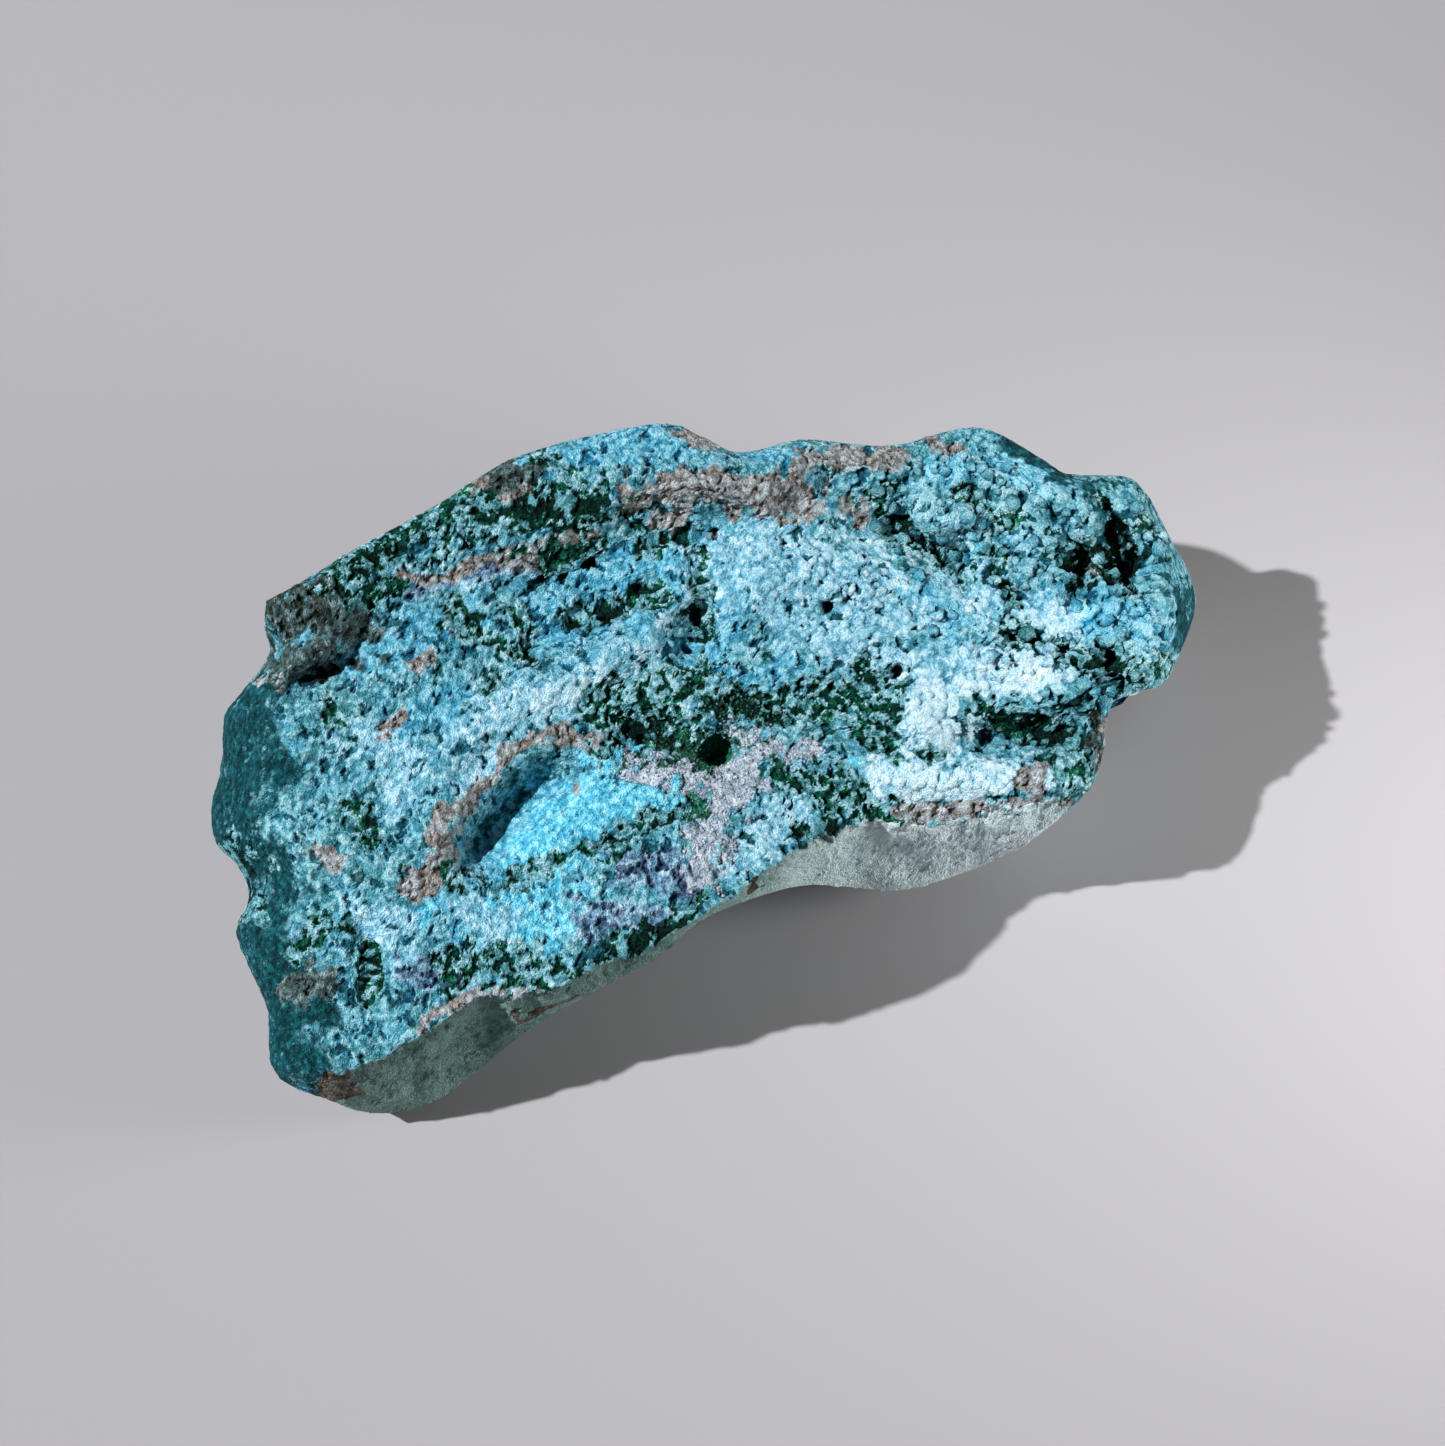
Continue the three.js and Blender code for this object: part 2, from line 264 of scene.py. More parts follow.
MALACHITE_PATCHES = [
    (33, [(340, 572), (400, 537), (440, 515)]),
    (28, [(460, 500), (500, 518), (600, 508)]),
    (14, [(370, 598), (395, 588)]),
    (15, [(540, 455), (560, 470)]),
    (14, [(545, 562), (590, 545)]),
    (18, [(455, 612), (480, 640), (515, 655)]),
    (14, [(512, 605), (530, 630)]),
    (17, [(580, 612), (616, 612), (652, 588)]),
    (12, [(470, 688), (490, 690)]),
    (38, [(615, 725), (665, 715), (700, 735)]),
    (24, [(590, 700), (640, 690), (700, 680)]),
    (26, [(735, 705), (800, 705), (880, 695)]),
    (20, [(860, 725), (885, 740)]),
    (22, [(985, 715), (1060, 728)]),
    (12, [(700, 550), (708, 600), (700, 660)]),
    (15, [(640, 545), (680, 545)]),
    (24, [(780, 775), (840, 792), (880, 815)]),
    (10, [(350, 930), (372, 955), (362, 1000)]),
    (15, [(600, 848), (650, 822), (690, 812)]),
    (13, [(508, 880), (570, 868)]),
    (17, [(560, 985), (620, 958), (660, 930), (700, 905)]),
    (12, [(325, 700), (345, 735)]),
    (12, [(355, 800), (375, 835)]),
    (16, [(320, 930), (300, 950)]),
    (20, [(880, 500), (905, 535), (960, 570)]),
    (13, [(960, 500), (1010, 525)]),
    (12, [(1000, 560), (1010, 605)]),
    # Partly real malachite and partly painted shade: the cave at the knobby end.
    (26, [(1075, 560), (1125, 565)]),
    (13, [(1102, 503), (1120, 545), (1136, 592)]),
    # Partly real malachite and partly painted shadow: the notch under the knobby end's lobe.
    (17, [(1066, 655), (1110, 670)]),
    (15, [(1000, 640), (1030, 640)]),
    (17, [(1125, 675), (1180, 665)]),
    (9, [(920, 750), (935, 748)]),
    (15, [(232, 838), (252, 880), (252, 908)]),
    (13, [(860, 660), (875, 700)]),
    (24, [(450, 965), (540, 965)]),
    (15, [(460, 870), (455, 890)]),
    (12, [(800, 840), (840, 832)]),
    (18, [(1070, 740), (1085, 780)]),
    (9, [(1140, 525), (1155, 535)]),
]
MATRIX_PATCHES = [
    (14, [(272, 612), (325, 608)]),
    (11, [(465, 488), (505, 470)]),
    (10, [(505, 490), (530, 485)]),
    (10, [(400, 588), (480, 562), (590, 540)]),
    (32, [(655, 500), (700, 490), (765, 500), (795, 495)]),
    (13, [(690, 430), (712, 440)]),
    (14, [(805, 460), (890, 458)]),
    (9, [(932, 448), (958, 448)]),
    (9, [(382, 735), (396, 722)]),
    (9, [(412, 664), (428, 655)]),
    (9, [(560, 738), (600, 740)]),
    (10, [(436, 830), (466, 800), (496, 770), (526, 745), (556, 726)]),
    (22, [(430, 880), (442, 845)]),
    (10, [(425, 1024), (482, 1006), (540, 988)]),
    (17, [(905, 814), (975, 808)]),
    (13, [(1000, 808), (1060, 796)]),
    (11, [(838, 838), (890, 832)]),
    (6, [(571, 782), (575, 790)]),
    (18, [(410, 885), (445, 850)]),
    (14, [(315, 850), (335, 855)]),
    (13, [(290, 985), (310, 985)]),
    (15, [(1022, 782), (1045, 765)]),
    (9, [(1101, 722), (1101, 768)]),
    (8, [(268, 682), (280, 688)]),
    (10, [(850, 512), (865, 515)]),
]
WHITE_PATCHES = [
    (34, [(925, 700), (935, 735), (905, 775)]),
    (24, [(880, 785), (960, 778), (1030, 770)]),
    (16, [(960, 690), (1070, 670)]),
    (8, [(540, 700), (600, 672)]),
    (10, [(700, 600), (720, 590)]),
    (9, [(485, 1012), (520, 998), (545, 988)]),
]
QUARTZ_PATCHES = [
    (32, [(690, 770), (738, 778), (720, 800)]),
    (26, [(716, 790), (710, 830), (708, 865)]),
    (18, [(640, 770), (672, 770)]),
    (16, [(750, 745), (800, 745)]),
    (12, [(1085, 565), (1095, 575)]),
]
LILAC_PATCHES = [
    (22, [(630, 865), (690, 880)]),
    (20, [(590, 915), (650, 915)]),
    (18, [(415, 975), (455, 975)]),
    (16, [(905, 540), (950, 560)]),
    (12, [(400, 592), (480, 572), (580, 545)]),
    (12, [(1070, 560), (1110, 570)]),
]
# Dull dark grey-green: real dull rock in most patches, and painted shade on the rim's nose and in the
# crevice under it.
DULL_ROCK_AND_PAINTED_SHADE_PATCHES = [
    (38, [(266, 612), (325, 608), (350, 625)]),
    (24, [(285, 668), (325, 655)]),
    (14, [(500, 475), (530, 470)]),
    (20, [(290, 985), (315, 985)]),
    (6, [(1101, 722), (1101, 768)]),
]
DEEP_PATCHES = [
    (58, [(228, 800), (245, 740)]),
    (54, [(250, 880), (275, 1000), (290, 1070)]),
    (30, [(250, 700), (280, 690)]),
    (18, [(1070, 745), (1078, 780)]),
    (22, [(905, 540), (950, 580)]),
    (18, [(1010, 452), (1062, 476)]),
    (13, [(1187, 600), (1188, 640)]),
    (15, [(1084, 496), (1096, 524)]),
    # On the ledge's flank: dark deep crust as painted shade.
    (17, [(480, 846), (510, 810), (540, 780)]),
]
# Small holes, dug in and bare of crust, and painted black as shade.
HOLE_PAINTED_BLACK_PATCHES = [
    (15, [(717, 752)]),
    (6, [(829, 607)]),
    (5, [(849, 598)]),
    (4, [(898, 671)]),
    (4, [(784, 543)]),
    (7, [(1108, 526), (1116, 552), (1127, 582)]),
    (6, [(1060, 566), (1080, 574)]),
    (6, [(1094, 648), (1110, 656)]),
    (7, [(1072, 708), (1092, 692)]),
    (5, [(998, 728), (1020, 733)]),
    (5, [(640, 738), (652, 742)]),
    (5, [(811, 841), (826, 838)]),
]
# Hollows, darkened by painted shade and less covered by crust.
HOLLOW_PAINTED_SHADE_PATCHES = [
    (14, [(622, 738), (655, 738)]),
    (36, [(1082, 560), (1128, 562)]),
    (14, [(1104, 506), (1120, 545), (1134, 588)]),
    (8, [(360, 566), (400, 545)]),
    (10, [(480, 505), (590, 508)]),
    (12, [(1075, 590), (1112, 600)]),
    (14, [(1110, 655), (1060, 695)]),
    (18, [(985, 735), (1065, 735), (1085, 715)]),
    (14, [(800, 842), (840, 832)]),
    (16, [(232, 838), (252, 880), (250, 918)]),
    (14, [(985, 575), (1010, 600)]),
    (12, [(1000, 642), (1035, 640)]),
    (10, [(1040, 520), (1060, 510)]),
    (12, [(1095, 630), (1110, 650)]),
    (16, [(600, 975), (660, 930)]),
    (14, [(735, 705), (770, 715)]),
    (12, [(1066, 655), (1112, 680)]),
    (12, [(905, 520), (960, 570)]),
    (7, [(690, 600), (700, 640)]),
    (16, [(568, 638), (612, 610)]),
    (8, [(295, 684), (335, 668)]),
    # The painted shadow line along the foot of the rim's scarp.
    (4, [(500, 588), (560, 580), (622, 551), (656, 539), (720, 533)]),
]
CALM_PATCHES = [
    (34, [(1120, 495), (1165, 560), (1190, 610)]),
    (22, [(1000, 450), (1060, 478)]),
    (24, [(455, 830), (490, 800), (540, 760)]),
    (18, [(480, 860), (515, 828), (550, 795)]),
]
GLITTER_PATCHES = [
    (17, [(724, 692), (756, 730)]),
    (9, [(660, 735), (705, 745)]),
    (8, [(362, 680), (372, 683)]),
    (12, [(690, 760), (700, 775)]),
]
BEAD_PATCHES = [
    (20, [(505, 700), (560, 682), (600, 665)]),
    (13, [(612, 655), (632, 648)]),
    (46, [(770, 570), (850, 580), (870, 640)]),
    (34, [(925, 700), (920, 760)]),
    (20, [(960, 680), (1060, 665)]),
    (16, [(880, 785), (1040, 772)]),
    (34, [(750, 810), (850, 790)]),
    (24, [(650, 840), (690, 900)]),
]
STAIN_PATCHES = [
    (17, [(316, 1092), (350, 1084)]),
    (5, [(520, 1018), (570, 998)]),
    (5, [(700, 900), (760, 880)]),
]
KNOB_PATCHES = [
    (60, [(960, 540), (1090, 530), (1110, 640)]),
    (34, [(1000, 650), (1090, 660)]),
    (26, [(1140, 620), (1150, 650)]),
    (18, [(930, 470), (1000, 480)]),
]

MINERAL_PATCHES = {
    "deep": DEEP_PATCHES,
    "azure": AZURE_PATCHES,
    "sky": SKY_PATCHES,
    "pale": PALE_PATCHES,
    "white": WHITE_PATCHES,
    "lilac": LILAC_PATCHES,
    "quartz": QUARTZ_PATCHES,
    "matrix": MATRIX_PATCHES,
    "dull_and_painted_shade": DULL_ROCK_AND_PAINTED_SHADE_PATCHES,
    "malachite": MALACHITE_PATCHES,
}

# The share of each mineral's ground that the crust covers, less the share of the plain ground's.
PLAIN_COVER = 0.78
COVER_CHANGE = {
    "deep": 0.3, "azure": 0.08, "sky": 0.2, "pale": 0.14, "white": 0.2, "lilac": -0.2, "quartz": -0.7,
    "matrix": -0.2, "dull_and_painted_shade": -0.1, "malachite": -0.34,
}

# How large the islands are, in mm, that each mineral crumbles into at the border of its patches.
ISLAND_SIZE = {
    "deep": 2.4, "azure": 1.5, "sky": 1.4, "pale": 1.2, "white": 1.2, "lilac": 1.0, "quartz": 1.0,
    "matrix": 1.2, "dull_and_painted_shade": 1.2, "malachite": 0.85,
}

# How gradually each mineral gives way at the border of its islands.
ISLAND_EDGE = {
    "deep": 0.45, "azure": 0.5, "sky": 0.5, "pale": 0.45, "white": 0.4, "lilac": 0.4, "quartz": 0.3,
    "matrix": 0.3, "dull_and_painted_shade": 0.4, "malachite": 0.22,
}

# How far the patches' borders waver in pixels, and over what size in mm. How large the crust's lace is
# in mm, elsewhere and on malachite, and the rags of a hole's border.
WAVER = 36.0
WAVER_SIZE = 3.0
LACE = 0.8
MALACHITE_LACE = 0.5
HOLE_RAGS = 0.7

# Where bare rock under the wall gives way to crust on the hidden side, in mm along the stone's depth.
UNDER_WALL = (-12.0, 6.0)

# How many pixels inside the outline the crust ends on the hidden side, from full to none, and how far
# that line wavers.
SEEN_FROM_OUTLINE = (2, 9)
SEEN_WAVER = 5.0

# Sizes in mm of the patterns on the hidden side: crust or rock, malachite, brown stains and their streaks,
# which are drawn out along the stone and pressed flat.
CRUST_OR_ROCK = 12.0
GREEN_SPOTS = 6.0
BROWN_STAINS = 8.0
BROWN_STREAKS = 3.0
STREAK_PRESS = np.array([0.35, 1.0, 1.6])

# Sizes in mm of the forms of the surface, large to small, on the crust and on the hidden side.
SWELLS = 9.0
LUMPS = 2.6
KNOBS = 1.6
CREASES = 0.85
BEADS = 0.6
GRAINS = 0.5
CRUMBS = 0.22
HIDDEN_GRAINS = 1.3
HIDDEN_CRUMBS = 0.7

# How far each form stands out in mm, and how much it lightens the surface: painted light on what stands out,
# and painted shade in the pits.
RISE = {
    "swells": 1.4, "lumps": 1.2, "crust": 0.26, "pit": -0.2, "lip": 0.05, "knobs": 0.8, "beads": 0.36,
    "grains": 0.17, "creases": 0.08, "crumbs": 0.07, "hole_painted_black": -1.2,
}
PAINTED_LIGHT_AND_SHADE = {
    "grains": 0.65, "creases": 0.35, "beads": 0.6, "knobs": 0.8, "crumbs": 0.35, "lip": 0.3, "pit": -0.35,
}
HIDDEN_RISE = {"grains": 0.3, "crumbs": 0.25}

STONE_SEED = 7

# What grows on the stone: tries at a place for each cube of the spacing, and a piece's most triangles.
TRIES_PER_CUBE = 4
PIECE_TRIANGLES = 195000

# The knobs' and quartz points' spacing and radius in mm, height as a share of the radius, and lean.
KNOB_SPACING = 1.0
KNOB_FORM = ((0.3, 0.7), (0.8, 1.2), 0.3)
POINT_SPACING = 0.4
POINT_FORM = ((0.09, 0.2), (0.7, 1.3), 0.6)

# The lamps: direction, distance and width in mm, power in watts, cone in degrees and tint.
KEY_LAMP = ((-0.916, 0.402, 1.057), 3600, 84, 191, 180, (0.99, 0.985, 1.0))
FILL_LAMP = ((0.9, -0.72, 0.42), 155, 70, 0.046, 90, (1.0, 0.98, 0.95))

# The surround's display colour and strength, and the floor's half width in mm and display colour.
SURROUND_TINT = (214, 211, 202)
SURROUND_STRENGTH = 0.09
FLOOR_HALF = 3000.0
FLOOR_TINT = (170, 169, 173)

# What the meshes store for the material, besides tone and gloss.
ATTRIBUTES = ["crust", "wall", "stain", *MINERAL_PATCHES]


# Noise

def hashed(cell, seed):
    """A repeatable random number from 0 to 1 for each whole-numbered cell of space: its three coordinates
    times large primes, mixed by shifts."""
    primes = np.array([73856093, 19349663, 83492791], np.uint32)
    mixed = np.bitwise_xor.reduce(cell.astype(np.int64).astype(np.uint32) * primes, axis=-1)
    mixed = mixed ^ np.uint32((seed * 2654435761) % 2**32)
    for shift, factor in ((15, 2246822519), (13, 3266489917)):
        mixed = (mixed ^ (mixed >> np.uint32(shift))) * np.uint32(factor)
    return (mixed ^ (mixed >> np.uint32(16))) / 2.0**32


def value_noise(points, seed):
    """Smooth noise from 0 to 1: random numbers at the corners of unit cells, blended by a smooth step."""
    cell = np.floor(points)
    t = points - cell
    t = t * t * (3 - 2 * t)
    total = np.zeros(points.shape[:-1])
    for corner in np.ndindex(2, 2, 2):
        corner = np.array(corner)
        weight = np.prod(np.where(corner == 1, t, 1 - t), axis=-1)
        total += weight * hashed(cell + corner, seed)
    return total


def fractal(points, size, seed, octaves=3):
    """Value noise of one feature size in mm, plus octaves of half the size and 0.55 of the strength."""
    total, strength, most = 0.0, 1.0, 0.0
    for octave in range(octaves):
        total = total + strength * value_noise(points / size * 2**octave + 17.3 * octave, seed + octave)
        most += strength
        strength *= 0.55
    return total / most


def bumps(points, size, seed):
    """Fused round bumps: one ball per cell of that size in mm, at a random place and with a random radius.
    Gives the height of the tallest ball at each point, from 0 in the gaps to 1 on the largest."""
    scaled = points / size
    cell = np.floor(scaled)
    height = np.zeros(points.shape[:-1])
    for offset in np.ndindex(3, 3, 3):
        corner = cell + np.array(offset) - 1
        seat = corner + np.stack([hashed(corner, seed + 31 * k) for k in range(3)], axis=-1)
        radius = 0.45 + 0.4 * hashed(corner, seed + 97)
        height = np.maximum(height, radius**2 - ((scaled - seat) ** 2).sum(-1))
    return np.sqrt(height) / 0.85


def smoothstep(low, high, value):
    """0 below low, 1 above high, and a smooth cubic between them."""
    t = np.clip((value - low) / (high - low), 0, 1)
    return t * t * (3 - 2 * t)


# Lines of sight, outline and relief

def sight_points(pixels, heights):
    """The points where the lines of sight through pixels are at heights: eye plus ray times the fall from
    the eye to the height over the ray's own fall."""
    offset = pixels - AIM_PIXEL
    rays = FORWARD * PIXELS_PER_MM * EYE_DISTANCE + offset[..., :1] * RIGHTWARD - offset[..., 1:] * UPWARD
    return EYE + rays * ((heights - EYE[2]) / rays[..., 2])[..., None]


def smooth_curve(knots, shares):
    """Points at shares of the length of a curve through the knots: cubic spans whose slope at each knot is
    the mean of the slopes beside it, weighted by the square root of the opposite span."""
    knots = np.array(knots, float)
    spans = np.diff(knots, axis=0)
    steps = np.sqrt(np.linalg.norm(spans, axis=1))[:, None]
    slopes = spans / steps
    inner = (slopes[:-1] * steps[1:] + slopes[1:] * steps[:-1]) / (steps[1:] + steps[:-1])
    tangents = np.vstack([slopes[:1], inner, slopes[-1:]])
    t = np.linspace(0, 1, 24, endpoint=False)[None, :, None]
    start, end = knots[:-1, None], knots[1:, None]
    pull_out, pull_in = tangents[:-1, None] * steps[:, None], tangents[1:, None] * steps[:, None]
    curve = (
        (2 * t**3 - 3 * t**2 + 1) * start + (t**3 - 2 * t**2 + t) * pull_out
        + (3 * t**2 - 2 * t**3) * end + (t**3 - t**2) * pull_in
    ).reshape(-1, 3)
    curve = np.vstack([curve, knots[-1:]])
    length = np.concatenate([[0], np.cumsum(np.linalg.norm(np.diff(curve, axis=0), axis=1))])
    return np.stack([np.interp(shares * length[-1], length, curve[:, k]) for k in range(3)], axis=-1)


def crowded_steps(count):
    """count + 1 numbers from 0 to 1 that lie closer together near both ends."""
    t = np.linspace(0, 1, 2001)
    density = 1 + EDGE_CROWDING * (np.exp(-((t / EDGE_REACH) ** 2)) + np.exp(-(((1 - t) / EDGE_REACH) ** 2)))
    total = np.concatenate([[0], np.cumsum((density[1:] + density[:-1]) / 2)])
    return np.interp(np.linspace(0, total[-1], count + 1), total, t)


def line_distance(pixels, line):
    """The distance in pixels from each pixel to a line of pixels, or to a single one."""
    line = np.array(line, float)
    if len(line) == 1:
        return np.linalg.norm(pixels - line[0], axis=-1)
    nearest = np.full(pixels.shape[:-1], np.inf)
    for start, end in zip(line[:-1], line[1:]):
        run = end - start
        t = np.clip(((pixels - start) @ run) / (run @ run), 0, 1)
        nearest = np.minimum(nearest, np.linalg.norm(pixels - start - t[..., None] * run, axis=-1))
    return nearest


def relief_at(pixels, relief):
    """The sum of ridges and hollows at each pixel: a bell curve of the distance to each line."""
    total = np.zeros(pixels.shape[:-1])
    for width, rise, line in relief:
        total += rise * np.exp(-((line_distance(pixels, line) / width) ** 2))
    return total


def crust_height(pixels):
    """The crust's height: the bell-weighted mean of the heights round it, the rolled rim, and the relief."""
    away = ((pixels[..., None, :] - CRUST_HEIGHTS[:, :2]) ** 2).sum(-1)
    weight = np.exp(-away / (2 * HEIGHT_REACH**2))
    mean = (weight * CRUST_HEIGHTS[:, 2]).sum(-1) / weight.sum(-1)
    above_scarp = np.interp(pixels[..., 0], RIM_SCARP[:, 0], RIM_SCARP[:, 1]) - pixels[..., 1]
    rise, width = (np.interp(pixels[..., 0], RIM[:, 0], RIM[:, k]) for k in (1, 2))
    rim = smoothstep(0, width, above_scarp) * smoothstep(RIM_END + RIM_FADE, RIM_END, pixels[..., 0])
    return mean + rise * rim + relief_at(pixels, RELIEF)


def turn_in(distance, width):
    """A quarter of a circle: 0 and upright at the outline, 1 from the turn's width inwards."""
    return np.sqrt(1 - (1 - np.minimum(distance / width, 1)) ** 2)


def fall_under(distance, width):
    """1 at the outline and 0 where the hidden side meets the ground, with a round foot."""
    return 1 - np.sin(np.minimum(distance / width, 1) * math.pi / 2) ** 0.8


def stone_sheets(cells):
    """The stone's two sheets on one grid of pixels, blended inwards from the four stretches of the outline.
    The upper sheet is the lowest of the crust and its turns; the lower sheet is the highest of its falls."""
    u, v = (crowded_steps(count) for count in cells)
    near, far = smooth_curve(NEAR_EDGE, u)[:, None], smooth_curve(FAR_EDGE, u)[:, None]
    left, right = smooth_curve(LEFT_END, v)[None], smooth_curve(RIGHT_END, v)[None]
    u, v = u[:, None, None], v[None, :, None]
    corners = (1 - v) * ((1 - u) * near[:1] + u * near[-1:]) + v * ((1 - u) * far[:1] + u * far[-1:])
    place = (1 - v) * near + v * far + (1 - u) * left + u * right - corners
    pixels = place[..., :2]
    across = np.linalg.norm((far - near)[..., :2], axis=-1)
    along = np.linalg.norm((right - left)[..., :2], axis=-1)
    from_near, from_far = v[..., 0] * across, (1 - v[..., 0]) * across
    from_left, from_right = u[..., 0] * along, (1 - u[..., 0]) * along
    crust = crust_height(pixels)
    waver = fractal(pixels @ np.eye(2, 3) / PIXELS_PER_MM, WALL_WAVES, STONE_SEED + 95) - 0.5
    wall = near[..., 2] + WALL_RISE * (from_near + WALL_WAVER * waver * smoothstep(0, 20, from_near))
    ended = smoothstep(WALL_END - WALL_END_FADE, WALL_END + WALL_END_FADE, pixels[..., 0])
    wall = wall + (near[..., 2] + (crust - near[..., 2]) * turn_in(from_near, NEAR_TURN) - wall) * ended
    top = np.minimum.reduce([
        far[..., 2] + (crust - far[..., 2]) * turn_in(from_far, FAR_TURN),
        left[..., 2] + (crust - left[..., 2]) * turn_in(from_left, LEFT_TURN),
        right[..., 2] + (crust - right[..., 2]) * turn_in(from_right, RIGHT_TURN),
    ])
    upper = np.minimum(wall, top)
    plain = np.maximum.reduce([
        near[..., 2] * fall_under(from_near, NEAR_UNDERCUT),
        far[..., 2] * fall_under(from_far, FAR_UNDERCUT),
        left[..., 2] * fall_under(from_left, LEFT_UNDERCUT),
        right[..., 2] * fall_under(from_right, RIGHT_UNDERCUT),
    ])
    started = smoothstep(WALL_START - WALL_START_FADE, WALL_START + WALL_START_FADE, pixels[..., 0])
    bare = started * (1 - ended)
    edge = np.minimum.reduce([from_near, from_far, from_left, from_right])
    hidden = smoothstep(0, HIDDEN_FADE, plain) * smoothstep(0, HIDDEN_EDGE, edge)
    lower = np.maximum(plain + hidden * relief_at(pixels, HIDDEN_RELIEF), 0)
    lower = np.minimum(lower, upper - THINNEST * smoothstep(0, THIN_EDGE, edge))
    rim = np.ones_like(edge, bool)
    rim[1:-1, 1:-1] = False
    upper[rim] = lower[rim] = place[..., 2][rim]
    return {
        "pixels": pixels,
        "upper": sight_points(pixels, upper),
        "lower": sight_points(pixels, lower),
        "edge": edge,
        "wall": np.clip(top - wall, -2, 2) * bare - 2 * (1 - bare),
    }


def cut_cells(numbers, flip=False):
    """Two triangles for each cell of a grid of vertex numbers, facing up, or down if flipped."""
    a, b, c, d = numbers[:-1, :-1], numbers[1:, :-1], numbers[1:, 1:], numbers[:-1, 1:]
    if flip:
        b, d = d, b
    return np.concatenate([np.stack(corners, -1).reshape(-1, 3) for corners in ((a, b, c), (a, c, d))])


def border(numbers):
    """The vertex numbers round the border of a grid, anticlockwise from above."""
    return np.concatenate([numbers[:-1, 0], numbers[-1, :-1], numbers[:0:-1, -1], numbers[0, :0:-1]])


def slab_faces(fine, coarse):
    """The triangles of a closed slab: a surface of so many vertices each way, its coarser underside, whose
    numbers follow on, and five triangles from each edge of the underside to the four edges above it."""
    number = np.arange(math.prod(fine)).reshape(fine)
    below = number.size + np.arange(math.prod(coarse)).reshape(coarse)
    f = [np.roll(border(number), -k)[::COARSE] for k in range(COARSE + 1)]
    c, d = border(below), np.roll(border(below), -1)
    walls = [(f[0], c, f[1]), (f[1], c, f[2]), (f[2], c, d), (f[2], d, f[3]), (f[3], d, f[4])]
    return np.concatenate([
        cut_cells(number), cut_cells(below, flip=True), *(np.stack(corners, -1) for corners in walls)
    ])


def grid_places(rows, columns):
    """A UV place for each vertex of a grid, from those of its rows and of its columns."""
    return np.stack(np.meshgrid(rows, columns, indexing="ij"), axis=-1).reshape(-1, 2)


def vertex_normals(points, triangles):
    """The mean direction of the faces round each vertex, weighted by their area."""
    a, b, c = (points[triangles[:, k]] for k in range(3))
    faces = np.cross(b - a, c - a)
    normals = np.zeros_like(points)
    for k in range(3):
        for axis in range(3):
            normals[:, axis] += np.bincount(triangles[:, k], faces[:, axis], len(points))
    return normals / np.maximum(np.linalg.norm(normals, axis=1, keepdims=True), 1e-12)


# Mesh and node helpers

def make_piece(name, points, triangles, uv, attributes, material, smooth=True):
    """A named mesh from points in mm, with a UV place for each corner and a number per vertex for each
    attribute that the material reads."""
    mesh = bpy.data.meshes.new(name)
    mesh.vertices.add(len(points))
    mesh.vertices.foreach_set("co", (points * MM).astype(np.float32).ravel())
    mesh.loops.add(triangles.size)
    mesh.loops.foreach_set("vertex_index", triangles.astype(np.int32).ravel())
    mesh.polygons.add(len(triangles))
    mesh.polygons.foreach_set("loop_start", np.arange(0, triangles.size, 3, dtype=np.int32))
    mesh.polygons.foreach_set("use_smooth", np.full(len(triangles), smooth))
    layer = mesh.uv_layers.new(name="OFBake")
    layer.data.foreach_set("uv", uv.astype(np.float32).ravel())
    for label, numbers in attributes.items():
        mesh.attributes.new(label, "FLOAT", "POINT").data.foreach_set("value", numbers.astype(np.float32))
    mesh.update(calc_edges=True)
    mesh.validate()
    mesh.materials.append(material)
    piece = bpy.data.objects.new(name, mesh)
    bpy.context.scene.collection.objects.link(piece)
    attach(piece, "root")
    return piece


def colour(red, green, blue):
    """A display colour from 0 to 255 as the linear colour that a shader takes."""
    shares = np.array([red, green, blue]) / 255
    linear = np.where(shares <= 0.04045, shares / 12.92, ((shares + 0.055) / 1.055) ** 2.4)
    return (*linear.tolist(), 1.0)


